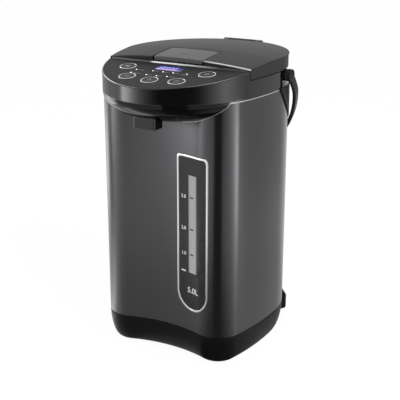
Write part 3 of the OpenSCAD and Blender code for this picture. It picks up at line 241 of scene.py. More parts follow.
def panel_z(y):
    """Height of the panel's plane."""
    return PANEL_Z - (WALL_Y - y) * math.tan(PANEL_TILT)


def on_panel(x, y):
    """The place on the panel over a point of the plan, with Z along the panel's normal."""
    return Matrix.Translation((x, y, panel_z(y))) @ Matrix.Rotation(PANEL_TILT, 4, "X")


# ------------------------------------------------------------------ mesh making


class Form:
    """Points in millimetres, in the vessel's frame, and the faces between them."""

    def __init__(self):
        self.points = []
        self.faces = []

    def add(self, points, faces=()):
        start = len(self.points)
        self.points += [tuple(float(c) for c in p) for p in points]
        self.faces += [tuple(start + i for i in face) for face in faces]
        return start

    def skin(self, rings, closed=True, first=False, last=False, around=False):
        """Faces between rings of points, with caps on the first and last, or around from last to first."""
        count = len(rings[0])
        starts = [self.add(ring) for ring in rings]
        if around:
            starts.append(starts[0])
        for a, b in zip(starts, starts[1:]):
            for i in range(count if closed else count - 1):
                j = (i + 1) % count
                self.faces.append((a + i, a + j, b + j, b + i))
        if first:
            self.faces.append(tuple(range(starts[0] + count - 1, starts[0] - 1, -1)))
        if last:
            self.faces.append(tuple(range(starts[-1], starts[-1] + count)))
        return self

    def turned(self, profile, place, steps=48, around=False):
        """A profile of (radius, height) pairs turned about a place's Z axis, capped or closed as a ring."""
        rings = []
        for radius, height in profile:
            ring = []
            for i in range(steps):
                t = 2 * math.pi * i / steps
                ring.append(place @ Vector((radius * math.cos(t), radius * math.sin(t), height)))
            rings.append(ring)
        return self.skin(rings, first=not around, last=not around, around=around)

    def box(self, x0, x1, y0, y1, z0, z1, place=None):
        place = place or Matrix()
        corners = [(x, y, z) for z in (z0, z1) for x, y in ((x0, y0), (x1, y0), (x1, y1), (x0, y1))]
        points = [place @ Vector(c) for c in corners]
        quads = [(3, 2, 1, 0), (4, 5, 6, 7), (0, 1, 5, 4), (1, 2, 6, 5), (2, 3, 7, 6), (3, 0, 4, 7)]
        self.add(points, quads)
        return self

    def sheet(self, outer, height, spacing=6.0, holes=(), lines=(), flip=False):
        """Triangles over a closed plan polygon. height gives each point's place from its plan coordinates."""
        points, faces = fill(outer, spacing, holes, lines)
        if flip:
            faces = [face[::-1] for face in faces]
        self.add([height(*p) for p in points], faces)
        return self


def inside(point, polygon):
    """Whether a plan point lies in a polygon."""
    x, y = point
    hit = False
    for (x0, y0), (x1, y1) in zip(polygon, np.roll(polygon, -1, axis=0)):
        if (y0 > y) != (y1 > y) and x < x0 + (y - y0) * (x1 - x0) / (y1 - y0):
            hit = not hit
    return hit


def fill(outer, spacing, holes=(), lines=()):
    """A mesh of triangles inside a polygon and outside its holes, with its own points kept."""
    loops = [np.array(outer, dtype=float)[:, :2]] + [np.array(h, dtype=float)[:, :2] for h in holes]
    points, edges = [], []
    for loop in loops:
        start = len(points)
        points += [Vector(p) for p in loop]
        edges += [(start + i, start + (i + 1) % len(loop)) for i in range(len(loop))]
    for line in lines:
        start = len(points)
        points += [Vector(p) for p in line]
        edges += [(start + i, start + i + 1) for i in range(len(line) - 1)]
    low, high = loops[0].min(axis=0), loops[0].max(axis=0)
    rim = np.concatenate(loops)
    sx, sy = spacing if isinstance(spacing, tuple) else (spacing, spacing)
    for gx in np.arange(low[0] + sx / 2, high[0], sx):
        for gy in np.arange(low[1] + sy / 2, high[1], sy):
            near = np.min(np.hypot((rim[:, 0] - gx) / sx, (rim[:, 1] - gy) / sy))
            if near > 0.35 and inside((gx, gy), loops[0]) and not any(inside((gx, gy), h) for h in loops[1:]):
                points.append(Vector((gx, gy)))
    out, _, faces, *_ = delaunay_2d_cdt(points, edges, [], 0, 1e-5)
    kept = []
    for face in faces:
        middle = sum((out[i] for i in face), Vector((0, 0))) / len(face)
        if inside(middle, loops[0]) and not any(inside(middle, h) for h in loops[1:]):
            kept.append(tuple(face))
    return [tuple(p) for p in out], kept


def rounded_rect(hx, hy, radius, steps=6):
    """Corner points of a rectangle with round corners, anticlockwise."""
    points = []
    for sx, sy, start in ((1, -1, -90), (1, 1, 0), (-1, 1, 90), (-1, -1, 180)):
        centre = np.array([sx * (hx - radius), sy * (hy - radius)])
        for i in range(steps + 1):
            t = math.radians(start + 90 * i / steps)
            points.append(centre + radius * np.array([math.cos(t), math.sin(t)]))
    return points


def welded(mesh, outwards=False, facets=0.0):
    """Joins doubled points, turns faces outwards if asked, and joins facets that meet within some degrees."""
    work = bmesh.new()
    work.from_mesh(mesh)
    bmesh.ops.remove_doubles(work, verts=work.verts, dist=2e-6)
    if outwards:
        bmesh.ops.recalc_face_normals(work, faces=work.faces)
    if facets:
        bmesh.ops.dissolve_limit(work, angle_limit=math.radians(facets), verts=work.verts, edges=work.edges,
                                 use_dissolve_boundaries=False)
    work.to_mesh(mesh)
    work.free()
    return mesh


def to_mesh(form, name, outwards=True):
    """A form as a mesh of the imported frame, in metres."""
    mesh = bpy.data.meshes.new(name)
    mesh.from_pydata([(x * MM, y * MM + SHIFT_Y, z * MM) for x, y, z in form.points], [], form.faces)
    return welded(mesh, outwards)


def new_object(mesh, name):
    """Links a mesh to the scene as an object."""
    item = bpy.data.objects.new(name, mesh)
    bpy.context.scene.collection.objects.link(item)
    return item


def baked(item):
    """Turns the object's modifiers into its mesh."""
    graph = bpy.context.evaluated_depsgraph_get()
    mesh = bpy.data.meshes.new_from_object(item.evaluated_get(graph), depsgraph=graph)
    item.modifiers.clear()
    old = item.data
    item.data = mesh
    bpy.data.meshes.remove(old)
    return item


def carve(item, *forms):
    """Cuts closed forms out of a piece."""
    for form in forms:
        cutter = new_object(to_mesh(form, "cutter"), "cutter")
        cut = item.modifiers.new("carve", "BOOLEAN")
        cut.object = cutter
        cut.operation = "DIFFERENCE"
        cut.solver = "EXACT"
        baked(item)
        bpy.data.objects.remove(cutter)
    return item


def smooth(item, angle=32.0):
    """Smooth shading with crisp edges."""
    item.data.shade_smooth()
    item.data.set_sharp_from_angle(angle=math.radians(angle))
    keep = item.modifiers.new("even_normals", "WEIGHTED_NORMAL")
    keep.keep_sharp = True
    keep.weight = 100
    return baked(item)


def settle(item, material, body, nodes=()):
    """Gives a finished piece its material, its body and what it stands for."""
    item.data.materials.clear()
    item.data.materials.append(material)
    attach(item, body)
    if nodes:
        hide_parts(*nodes)
    return item


def piece(form, name, material, body, nodes=(), angle=32.0, carved=()):
    """A piece from a closed form, less the forms carved out of it."""
    item = new_object(to_mesh(form, name), name)
    carve(item, *carved)
    smooth(item, angle)
    return settle(item, material, body, nodes)


def sheet_piece(form, name, material, nodes=(), thick=0.0, offset=-1, angle=30.0):
    """A piece of the housing from an open sheet, which gets a thickness where one is given."""
    item = new_object(to_mesh(form, name, outwards=False), name)
    if thick:
        wall = item.modifiers.new("thickness", "SOLIDIFY")
        wall.thickness = thick * MM
        wall.offset = offset
        baked(item)
    if angle:
        smooth(item, angle)
    return settle(item, material, "housing", nodes)


def smooth_copy(node, name, material, body):
    """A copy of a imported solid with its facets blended, which then stands for it."""
    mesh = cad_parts[node].data.copy()
    mesh.name = name
    item = new_object(welded(mesh, facets=0.3), name)
    smooth(item)
    return settle(item, material, body, (node,))


# ------------------------------------------------------------------ node trees


class Wiring:
    """Adds nodes to a tree. An input is given a socket to join it to, or a constant."""

    def __init__(self, tree):
        self.tree = tree

    def give(self, node, given):
        for key, value in dict(given).items():
            if isinstance(value, bpy.types.NodeSocket):
                self.tree.links.new(value, node.inputs[key])
            else:
                node.inputs[key].default_value = value
        return node

    def node(self, kind, given=(), **settings):
        """A node with its settings, then its inputs by name or number."""
        node = self.tree.nodes.new(kind)
        for key, value in settings.items():
            setattr(node, key, value)
        return self.give(node, given)

    def reckon(self, operation, *values, **settings):
        """The result of one operation on numbers."""
        return self.node("ShaderNodeMath", enumerate(values), operation=operation, **settings).outputs[0]

    def span(self, value, low=0.0, high=1.0, out_low=0.0, out_high=1.0, **settings):
        """A value between two limits, spread over another stretch."""
        given = {"Value": value, "From Min": low, "From Max": high, "To Min": out_low, "To Max": out_high}
        return self.node("ShaderNodeMapRange", given, **settings).outputs["Result"]

    def mix(self, factor, a, b):
        """A colour between two others."""
        given = {"Factor": factor, "A": a, "B": b}
        return self.node("ShaderNodeMix", given, data_type="RGBA").outputs["Result"]

    def place(self, kind="Object"):
        """X, Y and Z of the place on a piece, or of its normal."""
        coords = self.node("ShaderNodeTexCoord")
        return self.node("ShaderNodeSeparateXYZ", {0: coords.outputs[kind]}).outputs


def add_sockets(tree, way, kinds):
    """Gives a node group its inputs or outputs."""
    for name, kind in kinds.items():
        tree.interface.new_socket(name, in_out=way, socket_type="NodeSocket" + kind)


def bare_material(name):
    """A material with no nodes yet, and its wiring."""
    material = bpy.data.materials.new(name)
    material.use_nodes = True
    material.node_tree.nodes.clear()
    return material, Wiring(material.node_tree)


# ------------------------------------------------------------------ repeated parts


def repeat_tree():
    """Geometry Nodes: a pattern part at each point, turned and sized, with its material."""
    tree = bpy.data.node_groups.get("pattern_at_points")
    if tree:
        return tree
    tree = bpy.data.node_groups.new("pattern_at_points", "GeometryNodeTree")
    add_sockets(tree, "INPUT", {"Geometry": "Geometry", "Pattern": "Object", "Tilt": "Float", "Size": "Float",
                                "Material": "Material"})
    add_sockets(tree, "OUTPUT", {"Geometry": "Geometry"})
    tree.interface.items_tree["Tilt"].subtype = "ANGLE"
    wire = Wiring(tree)
    given = wire.node("NodeGroupInput").outputs
    part = wire.node("GeometryNodeObjectInfo", {"Object": given["Pattern"]}).outputs["Geometry"]
    turn = wire.node("ShaderNodeCombineXYZ", {"X": given["Tilt"]}).outputs[0]
    placed = wire.node("GeometryNodeInstanceOnPoints", {
        "Points": given["Geometry"], "Instance": part, "Rotation": turn, "Scale": given["Size"]})
    real = wire.node("GeometryNodeRealizeInstances", {0: placed.outputs[0]})
    paint = wire.node("GeometryNodeSetMaterial", {"Geometry": real.outputs[0], "Material": given["Material"]})
    wire.node("NodeGroupOutput", {0: paint.outputs[0]})
    return tree


def repeated(name, form, places, material, nodes, tilt=0.0):
    """One form, drawn about its own origin, set at each place as one piece of the housing."""
    mesh = bpy.data.meshes.new(name + "_pattern")
    mesh.from_pydata([tuple(c * MM for c in p) for p in form.points], [], form.faces)
    pattern = new_object(welded(mesh, outwards=True), name + "_pattern")
    points = bpy.data.meshes.new(name)
    points.from_pydata([(x * MM, y * MM + SHIFT_Y, z * MM) for x, y, z in places], [], [])
    item = new_object(points, name)
    tree = repeat_tree()
    modifier = item.modifiers.new("pattern", "NODES")
    modifier.node_group = tree
    given = {"Pattern": pattern, "Tilt": tilt, "Size": 1.0, "Material": material}
    for socket in tree.interface.items_tree:
        if socket.in_out == "INPUT" and socket.name in given:
            modifier[socket.identifier] = given[socket.name]
    baked(item)
    bpy.data.objects.remove(pattern)
    smooth(item)
    return settle(item, material, "housing", nodes)


# ------------------------------------------------------------------ finishes


def surface_group():
    """Shader group: colour, roughness and height that wander a little over a surface."""
    group = bpy.data.node_groups.get("surface_wander")
    if group:
        return group
    group = bpy.data.node_groups.new("surface_wander", "ShaderNodeTree")
    add_sockets(group, "INPUT", {
        "Colour": "Color", "Second Colour": "Color", "Patch Scale": "Float", "Patch Amount": "Float",
        "Grain Scale": "Vector", "Roughness": "Float", "Roughness Spread": "Float"})
    add_sockets(group, "OUTPUT", {"Colour": "Color", "Roughness": "Float", "Height": "Float"})
    wire = Wiring(group)
    given = wire.node("NodeGroupInput").outputs
    spot = wire.node("ShaderNodeTexCoord").outputs["Object"]
    patches = wire.node("ShaderNodeTexNoise", {"Vector": spot, "Scale": given["Patch Scale"], "Detail": 3})
    stretch = wire.node("ShaderNodeMapping", {"Vector": spot, "Scale": given["Grain Scale"]}).outputs[0]
    grain = wire.node("ShaderNodeTexNoise", {"Vector": stretch, "Scale": 1, "Detail": 4}).outputs["Fac"]
    amount = wire.reckon("MULTIPLY", patches.outputs["Fac"], given["Patch Amount"])
    centred = wire.reckon("SUBTRACT", grain, 0.5)
    wire.node("NodeGroupOutput", {
        "Colour": wire.mix(amount, given["Colour"], given["Second Colour"]),
        "Roughness": wire.reckon("MULTIPLY_ADD", centred, given["Roughness Spread"], given["Roughness"]),
        "Height": grain,
    })
    return group


def finish(name, colour, rough, second=None, patch=(9.0, 0.6), grain=(900.0, 900.0, 900.0), spread=0.12,
           bump=0.05, depth=0.00005, by_place=None, **constants):
    """A material from the shared surface group and the shader's constants. by_place may rewire its colour."""
    name += "_finish"
    material = bpy.data.materials.get(name)
    if material:
        return material
    material = bpy.data.materials.new(name)
    material.use_nodes = True
    wire = Wiring(material.node_tree)
    shader = material.node_tree.nodes["Principled BSDF"]
    second = second or tuple(c * 1.12 for c in colour)
    group = wire.node("ShaderNodeGroup", {
        "Colour": (*colour, 1), "Second Colour": (*second, 1), "Patch Scale": patch[0],
        "Patch Amount": patch[1], "Grain Scale": grain, "Roughness": rough, "Roughness Spread": spread,
    }, node_tree=surface_group()).outputs
    wire.give(shader, {"Base Color": group["Colour"], "Roughness": group["Roughness"]})
    if bump:
        rise = wire.node("ShaderNodeBump", {"Strength": bump, "Distance": depth, "Height": group["Height"]})
        wire.give(shader, {"Normal": rise.outputs["Normal"]})
    for key, value in constants.items():
        shader.inputs[key.replace("_", " ").title().replace("Ior", "IOR")].default_value = value
    if by_place:
        by_place(wire, shader)
    return material


def colours():
    """The colours from the sidebar."""
    return bpy.context.scene.thermo_colours


FINE = (1400.0, 1400.0, 1400.0)
BRUSH = (60.0, 60.0, 5200.0)


def jacket_steel():
    c = tuple(colours().jacket)
    return finish("jacket_steel", c, 0.3, second=(c[0] * 1.08, c[1] * 1.05, c[2] * 1.12), patch=(14.0, 0.75),
                  grain=BRUSH, spread=0.16, bump=0.12, depth=0.00003, metallic=1.0, anisotropic=0.8,
                  anisotropic_rotation=0.25)


def rim_steel():
    return finish("rim_steel", (0.42, 0.42, 0.43), 0.24, grain=BRUSH, metallic=1.0)


def screw_steel():
    return finish("screw_steel", (0.45, 0.45, 0.46), 0.3, metallic=1.0)


def gloss_black():
    return finish("gloss_black", tuple(colours().gloss), 0.1, spread=0.04, bump=0.02, grain=FINE)


def chin_black():
    return finish("chin_black", tuple(colours().gloss), 0.14, spread=0.04, bump=0.02, grain=FINE,
                  specular_ior_level=0.2)


def base_black():
    return finish("base_black", tuple(colours().base), 0.44, grain=FINE, bump=0.12, specular_ior_level=0.1)


def panel_satin():
    return finish("panel_satin", tuple(colours().panel), 0.4, grain=FINE, bump=0.1, specular_ior_level=0.03)


def lid_grain(name="lid_grain", by_place=None):
    return finish(name, tuple(colours().lid), 0.46, grain=FINE, bump=0.16, by_place=by_place,
                  specular_ior_level=0.06)


def paint_lid_edge_highlight(wire, shader):
    """Paints a highlight into the base colour on the rounding along the right half of the lid's front edge.
    """
    spot, lean = wire.place(), wire.place("Normal")["Z"]
    front = (-LID_FRONT + 1.7) * MM + SHIFT_Y
    along = wire.span(spot["Y"], front, front + 0.5 * MM, 1.0, 0.0)
    right = wire.span(spot["X"], LATCH_HALF * MM * 0.8, LATCH_HALF * MM * 1.3)
    turned = wire.reckon("MULTIPLY", wire.span(lean, 0.15, 0.35), wire.span(lean, 0.9, 0.97, 1.0, 0.0))
    share = wire.reckon("MULTIPLY", wire.reckon("MULTIPLY", along, right), turned)
    plain = shader.inputs["Base Color"].links[0].from_socket
    # painted highlight: pale grey mixed into the base colour on the front edge's rounding, right of the latch
    # plate
    wire.give(shader, {"Base Color": wire.mix(share, plain, (0.72, 0.72, 0.72, 1))})


def latch_grain():
    return finish("latch_grain", tuple(colours().latch), 0.42, grain=FINE, bump=0.14, specular_ior_level=0.06)


def ledge_painted_highlight():
    # painted highlight: the ledge's colour is a grey ramp along its length, brightest in front of the latch
    # plate
    return finish("ledge_painted_highlight", (0.03, 0.03, 0.03), 0.3, bump=0.0, spread=0.04, by_place=paint_ledge_highlight,
                  specular_ior_level=0.06)


def paint_ledge_highlight(wire, shader):
    """Paints a highlight into the ledge's colour, brightest in front of the latch plate."""
    ramp = wire.node("ShaderNodeValToRGB", {"Fac": wire.span(wire.place()["X"], -90 * MM, 90 * MM)})
    stops = ((0.0, 0.06), (0.3, 0.07), (0.335, 0.9), (0.5, 0.8), (0.7, 0.3), (0.8, 0.05))
    marks = ramp.color_ramp.elements
    while len(marks) < len(stops):
        marks.new(1.0)
    for mark, (place, level) in zip(marks, stops):
        mark.position = place
        mark.color = (level, level, level * 0.98, 1)
    wire.give(shader, {"Base Color": ramp.outputs["Color"]})


def fascia_black():
    return finish("gauge_fascia", (0.014, 0.014, 0.0145), 0.3, spread=0.06, bump=0.03,
                  specular_ior_level=0.35)


def window_frost():
    return finish("gauge_window", tuple(colours().window), 0.35, bump=0.0, spread=0.04, by_place=tube_shade)


def tube_shade(wire, shader):
    """Darkens the window on both sides of the level tube behind it."""
    off = wire.reckon("ABSOLUTE", wire.reckon("SUBTRACT", wire.place()["X"], GAUGE_X * MM))
    share = wire.span(off, 3.0 * MM, 4.2 * MM, 0.0, 0.25, interpolation_type="SMOOTHSTEP")
    plain = shader.inputs["Base Color"].links[0].from_socket
    wire.give(shader, {"Base Color": wire.mix(share, plain, (0.2, 0.2, 0.2, 1))})


def display_blue():
    return finish("display_glow", (0.02, 0.02, 0.12), 0.12, second=(0.05, 0.03, 0.16), patch=(160.0, 1.0),
                  bump=0.0, by_place=glow_on_left, emission_strength=1.0)


def glow_on_left(wire, shader):
    """Lets the display's glow fade towards its right end."""
    share = wire.span(wire.place()["X"], 8 * MM, 14 * MM, 1.0, 0.12)
    wire.give(shader, {"Emission Color": wire.mix(share, (0.01, 0.01, 0.03, 1), (0.05, 0.045, 0.3, 1))})


def handle_satin():
    return finish("handle_satin", (0.024, 0.024, 0.0245), 0.36, grain=FINE, bump=0.1, specular_ior_level=0.07)


def silver():
    return finish("silver_trim", tuple(colours().silver), 0.2, spread=0.08, bump=0.02, metallic=1.0)


def print_ink(name, *colour):
    """Flat ink for signs, marks and numerals."""
    return finish(name, colour, 0.5, bump=0.0)


def lamp(name, colour, strength):
    return finish(name, colour, 0.3, bump=0.0, emission_color=(*colour, 1), emission_strength=strength)


# ------------------------------------------------------------------ settings


def shade(label, default, text):
    """A colour for the sidebar."""
    return FloatVectorProperty(name=label, description=text, subtype="COLOR", size=3, min=0, max=1,
                               default=default)


def millimetres(label, default, low, high, text):
    """A length for the sidebar, given in millimetres."""
    return FloatProperty(name=label, description=text, default=default * MM, min=low * MM, max=high * MM,
                         unit="LENGTH", precision=4)


class ThermoColours(bpy.types.PropertyGroup):
    jacket: shade("Jacket", (0.0825, 0.082, 0.0832), "Tint of the brushed steel jacket")
    gloss: shade("Collar", (0.0025, 0.0025, 0.003), "Colour of the glossy collar and chin")
    base: shade("Base", (0.0055, 0.0055, 0.0057), "Colour of the base ring")
    panel: shade("Panel", (0.019, 0.019, 0.0195), "Colour of the key panel")
    lid: shade("Lid", (0.0335, 0.0335, 0.034), "Colour of the lid")
    latch: shade("Latch plate", (0.12, 0.12, 0.118), "Colour of the latch plate")
    silver: shade("Silver trim", (0.7, 0.71, 0.73), "Colour of the rings and the gauge's frame")
    window: shade("Gauge window", (0.52, 0.52, 0.53), "Colour of the level window")


class ThermoSizes(bpy.types.PropertyGroup):
    rim_roll: millimetres("Rim roll", 1.3, 0.6, 2, "Radius of the jacket's rolled top edge")
    border_round: millimetres("Border round", 1.3, 0.6, 1.4, "Rounding of the collar's top edge")
    edge_round: millimetres("Edge round", 0.5, 0.2, 0.8, "Rounding of the lid's edges")
    groove: millimetres("Base groove", 0.5, 0.2, 1, "Rounding where the base ring meets the jacket")


def power(label, default):
    """A lamp's strength for the sidebar."""
    text = "Strength of this lamp"
    return FloatProperty(name=label, description=text, default=default, min=0, unit="POWER")


class ThermoStage(bpy.types.PropertyGroup):
    left_power: power("Left lamp", 3)
    right_power: power("Right lamp", 13)
    top_power: power("Top lamp", 2)
    world: FloatProperty(name="Room", description="Strength of the room's even light", default=0.45, min=0)


def size_of(key):
    """A size from the sidebar, in millimetres."""
    return getattr(bpy.context.scene.thermo_sizes, key) / MM


# ------------------------------------------------------------------ body


def jacket_columns():
    """The jacket's outline with a point wherever its cut-outs start, end or curve."""
    hole = GAUGE_HALF - GAUGE_LIP
    turns = [GAUGE_X + hole * math.cos(math.radians(t)) for t in range(0, 181, 9)]
    return JACKET.cut(0, FRONT_CUT, -FRONT_CUT, *turns)


def gauge_hole(x):
    """Lowest and highest point of the opening for the gauge at some x, or None beside it."""
    half = GAUGE_HALF - GAUGE_LIP
    off = abs(x - GAUGE_X)
    if off > half + 0.01:
        return None
    low = GAUGE_LOW + GAUGE_HALF - math.sqrt(max(half**2 - off**2, 0))
    over = max(off - (half - GAUGE_CORNER), 0)
    return low, GAUGE_TOP - GAUGE_LIP - GAUGE_CORNER + math.sqrt(max(GAUGE_CORNER**2 - over**2, 0))


def jacket_shell(line, wall_top):
    """The jacket's wall, lower behind the chin and open for the gauge."""
    form = Form()
    for i, j in enumerate(np.roll(range(len(line.points)), -1)):
        pair = line.points[[i, j]]
        front = pair[:, 1].max() < CORNER_C[1]
        top = FRONT_CUT_Z if front and np.abs(pair[:, 0]).max() < FRONT_CUT + 0.01 else wall_top
        holes = [gauge_hole(p[0]) for p in pair] if front else [None]
        foot, head = (BASE_TOP, BASE_TOP), (top, top)
        spans = [(foot, head)]
        if all(holes):
            sill, lintel = zip(*holes)
            spans = [(foot, sill), (lintel, head)]
        for low, high in spans:
            quad = [(*pair[0], low[0]), (*pair[1], low[1]), (*pair[1], high[1]), (*pair[0], high[0])]
            form.add(quad, [(0, 1, 2, 3)])
    sheet_piece(form, "jacket_shell", jacket_steel(), ("outer_body",), thick=STEEL)


def jacket_rim(line, roll, wall_top):
    """The rolled top edge, all the way round but for the stretch behind the chin."""
    count = len(line.points)
    turns = [math.radians(90 * k / 6) for k in range(7)]
    rings = [line.ring(roll * (1 - math.cos(t)), wall_top + roll * math.sin(t)) for t in turns]
    rings += [line.ring(roll + 0.4, z) for z in (JACKET_TOP, wall_top)]
    behind = CORNER_C[1] - 24
    back = [k for k, p in enumerate(line.points) if p[1] > behind or abs(p[0]) > FRONT_CUT]
    start = max(range(len(back)), key=lambda k: (back[(k + 1) % len(back)] - back[k]) % count)
    order = back[start + 1:] + back[: start + 1]
    form = Form().skin([[r[k] for k in order] for r in rings], closed=False, around=True)
    piece(form, "jacket_rim", rim_steel(), "housing")


class THERMO_OT_jacket(bpy.types.Operator):
    """Add the steel jacket with its rolled top edge and the opening for the gauge"""

    bl_idname = "thermo.jacket"
    bl_label = "Jacket"

    def execute(self, context):
        roll = size_of("rim_roll")
        line = jacket_columns()
        jacket_shell(line, JACKET_TOP - roll)
        jacket_rim(line, roll, JACKET_TOP - roll)
        return {"FINISHED"}


def reach_to(outline, point, out, most):
    """How far inwards from a point another outline lies."""
    near, far = 0.0, most
    if inside(point, outline.points):
        return 0.0
    for _ in range(22):
        middle = (near + far) / 2
        if inside(point - out * middle, outline.points):
            far = middle
        else:
            near = middle
    return far


def chin_z(depth):
    """Height of the chin's underside, some way in from the nose."""
    return JACKET_TOP - CHIN_H * math.sqrt(max(1 - (1 - min(depth / CHIN_ROLL, 1.0)) ** 2, 0))


def chin_seam(foot):
    """A thin bead along the chin's foot, where it meets the jacket."""
    radius, sides = 0.5, 8
    rings = []
    for k, spot in enumerate(foot):
        along = (foot[min(k + 1, len(foot) - 1)] - foot[max(k - 1, 0)]).normalized()
        near = int(np.argmin(np.linalg.norm(JACKET.points - np.array(spot[:2]), axis=1)))
        out = Vector((*JACKET.out[near], 0)).normalized()
        up = along.cross(out).normalized()
        middle = spot + out * 0.1 - Vector((0, 0, radius))
        turns = [2 * math.pi * i / sides for i in range(sides)]
        rings.append([middle + out * radius * math.cos(t) + up * radius * math.sin(t) for t in turns])
    form = Form().skin(rings, first=True, last=True)
    piece(form, "chin_seam", rim_steel(), "housing", angle=60)


class THERMO_OT_chin(bpy.types.Operator):
    """Add the chin under the collar's nose and the seam where it meets the jacket"""

    bl_idname = "thermo.chin"
    bl_label = "Chin"

    def execute(self, context):
        deepest, tuck = 70.0, 1.2
        line = COLLAR.cut(1, CHIN_Y)
        shown = [k for k, p in enumerate(line.points) if p[1] < CHIN_Y + 0.001]
        start = max(range(len(shown)), key=lambda k: shown[k] - shown[k - 1] if k else 0)
        columns, foot = [], []
        for k in shown[start:] + shown[:start]:
            p, out = line.points[k], line.out[k]
            reach = reach_to(JACKET, p, out, deepest)
            depths = [reach * (1 - math.cos(math.radians(90 * i / 20))) for i in range(21)]
            profile = [(d, chin_z(d)) for d in depths]
            profile += [(reach + tuck, chin_z(reach)), (reach + tuck, JACKET_TOP - 0.2)]
            columns.append([(*(p - out * d), z) for d, z in profile])
            foot.append(Vector((*(p - out * reach), chin_z(reach))))
        form = Form().skin(columns, first=True, last=True)
        piece(form, "chin", chin_black(), "housing", ("under_cover",))
        chin_seam(foot)
        return {"FINISHED"}


class THERMO_OT_spout(bpy.types.Operator):
    """Add the spout box and its nozzle"""

    bl_idname = "thermo.spout"
    bl_label = "Spout"

    def execute(self, context):
        corner, bore_r = 1.6, 6.1
        plan = rounded_rect(SPOUT_HALF, SPOUT_DEPTH / 2, corner)
        line = Outline([np.array([0, SPOUT_Y]) + p for p in plan])
        turns = [math.radians(90 * k / 4) for k in range(5)]
        rings = [line.ring(SPOUT_ROUND * (1 - math.sin(t)), SPOUT_LOW + SPOUT_ROUND * (1 - math.cos(t)))
                 for t in turns]
        form = Form().skin([*rings, line.ring(0, SPOUT_TOP)], first=True, last=True)
        bore = Form().turned([(bore_r, -4), (bore_r, 5)], Matrix.Translation((0, SPOUT_Y, SPOUT_LOW)))
        piece(form, "spout_box", gloss_black(), "housing", ("spout_housing",), carved=(bore,))
        smooth_copy("spout_nozzle", "nozzle", base_black(), "housing")
        return {"FINISHED"}


# ------------------------------------------------------------------ base


def inlet_place():
    """The mains inlet's own frame, with X pointing out of the back corner."""
    return Matrix.Translation((0, BACK_C[1], 0)) @ Matrix.Rotation(INLET_TURN, 4, "Z")


def base_shell(opening):
    """The ring under the jacket, which rolls in at its foot."""
    groove, gap = size_of("groove"), 0.1
    rings = [JACKET.ring(BASE_SEAT, BASE_TOP - 8), JACKET.ring(BASE_SEAT, BASE_TOP - gap)]
    rings.append(JACKET.ring(groove, BASE_TOP - gap))
    for k in range(23):
        t = math.radians(3 + 85 * k / 22)
        height = (BASE_TOP - FOOT_H) * math.sin(t)
        rings.append(JACKET.ring(BASE_ROLL * (1 - math.cos(t)), BASE_TOP - height))
    for inset, up in ((0.5, 0), (BASE_SEAT + 0.5, 0.2), (BASE_SEAT + 0.5, 8)):
        rings.append(JACKET.ring(BASE_ROLL + inset, FOOT_H + up))
    form = Form().skin(rings, around=True)
    piece(form, "base_shell", base_black(), "housing", ("base_ring",), carved=(opening,))


def inlet_hood(opening):
    """The hood over the mains inlet: one profile from side to side, with its ends rounded."""
    profile = np.array([(91.5, 12), (102.4, 13.6), (103.5, 14.8), (103.9, 18), (103.9, 32.6), (103.2, 34),
                        (97.7, 43), (91.5, 43)])
    ends = ((14.8, 0), (15.8, 0.2), (16.6, 0.8), (17.0, 1.6))
    middle = profile.mean(axis=0)
    place = inlet_place()
    slices = []
    for across, shrink in [(-across, shrink) for across, shrink in reversed(ends)] + list(ends):
        spots = [middle + (p - middle) * (1 - shrink / np.linalg.norm(p - middle)) for p in profile]
        slices.append([place @ Vector((r, across, z)) for r, z in spots])
    hood = Form().skin(slices, first=True, last=True)
    jacket = Form().skin([JACKET.ring(-0.1, z) for z in (BASE_TOP + 0.05, 60)], first=True, last=True)
    core = Form().skin([JACKET.ring(BASE_ROLL + 0.4, z) for z in (5, 50)], first=True, last=True)
    piece(hood, "inlet_hood", base_black(), "housing", carved=(jacket, core, opening))


def feet():
    """Round rubber feet, with a hollow underneath."""
    profile = [(0.01, 1), (3.4, 1), (3.7, 0.2), (4.2, 0), (8.2, 0), (8.8, 0.4), (FOOT_R, 1), (FOOT_R, 3),
               (0.01, 3)]
    pad = Form().turned(profile, Matrix(), 40)
    rubber = finish("rubber_foot", (0.012, 0.012, 0.012), 0.7, bump=0.2)
    front_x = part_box("rubber_feet")[1][0] / MM - FOOT_R
    spots = [(sx * x, y, 0) for x, y in ((front_x, FEET_FRONT_Y), FEET_BACK) for sx in (1, -1)]
    repeated("feet", pad, spots, rubber, ("rubber_feet",))


def foot_screws():
    """Heads of the screws that hold the bottom plate, each with its socket."""
    profile = [(0.01, -1.2), (1.2, -1.2), (1.3, -2.1), (2.7, -2.1), (3.2, -1.5), (3.2, 0.1), (0.01, 0.1)]
    head = Form().turned(profile, Matrix(), 24)
    spots = [(sx * x, y, FOOT_H) for x, y in BASE_SCREWS for sx in (1, -1)]
    repeated("foot_screws", head, spots, screw_steel(), ("base_screws",))


class THERMO_OT_base(bpy.types.Operator):
    """Add the base ring, its inlet hood, the bottom plate and the feet"""

    bl_idname = "thermo.base"
    bl_label = "Base"

    def execute(self, context):
        opening = Form().box(84, 130, -INLET_HALF, INLET_HALF, INLET_LOW, INLET_TOP, inlet_place())
        base_shell(opening)
        inlet_hood(opening)
        smooth_copy("power_inlet", "inlet_socket", gloss_black(), "housing")
        smooth_copy("base_plate", "bottom_plate", base_black(), "housing")
        feet()
        foot_screws()
        return {"FINISHED"}


# ------------------------------------------------------------------ collar


def hub_place(side, x=0.0):
    """The handle's axis on one side of the pot, with Z along it and outwards."""
    return Matrix.Translation((side * x, PIVOT_Y, PIVOT_Z)) @ Matrix.Rotation(side * math.pi / 2, 4, "Y")


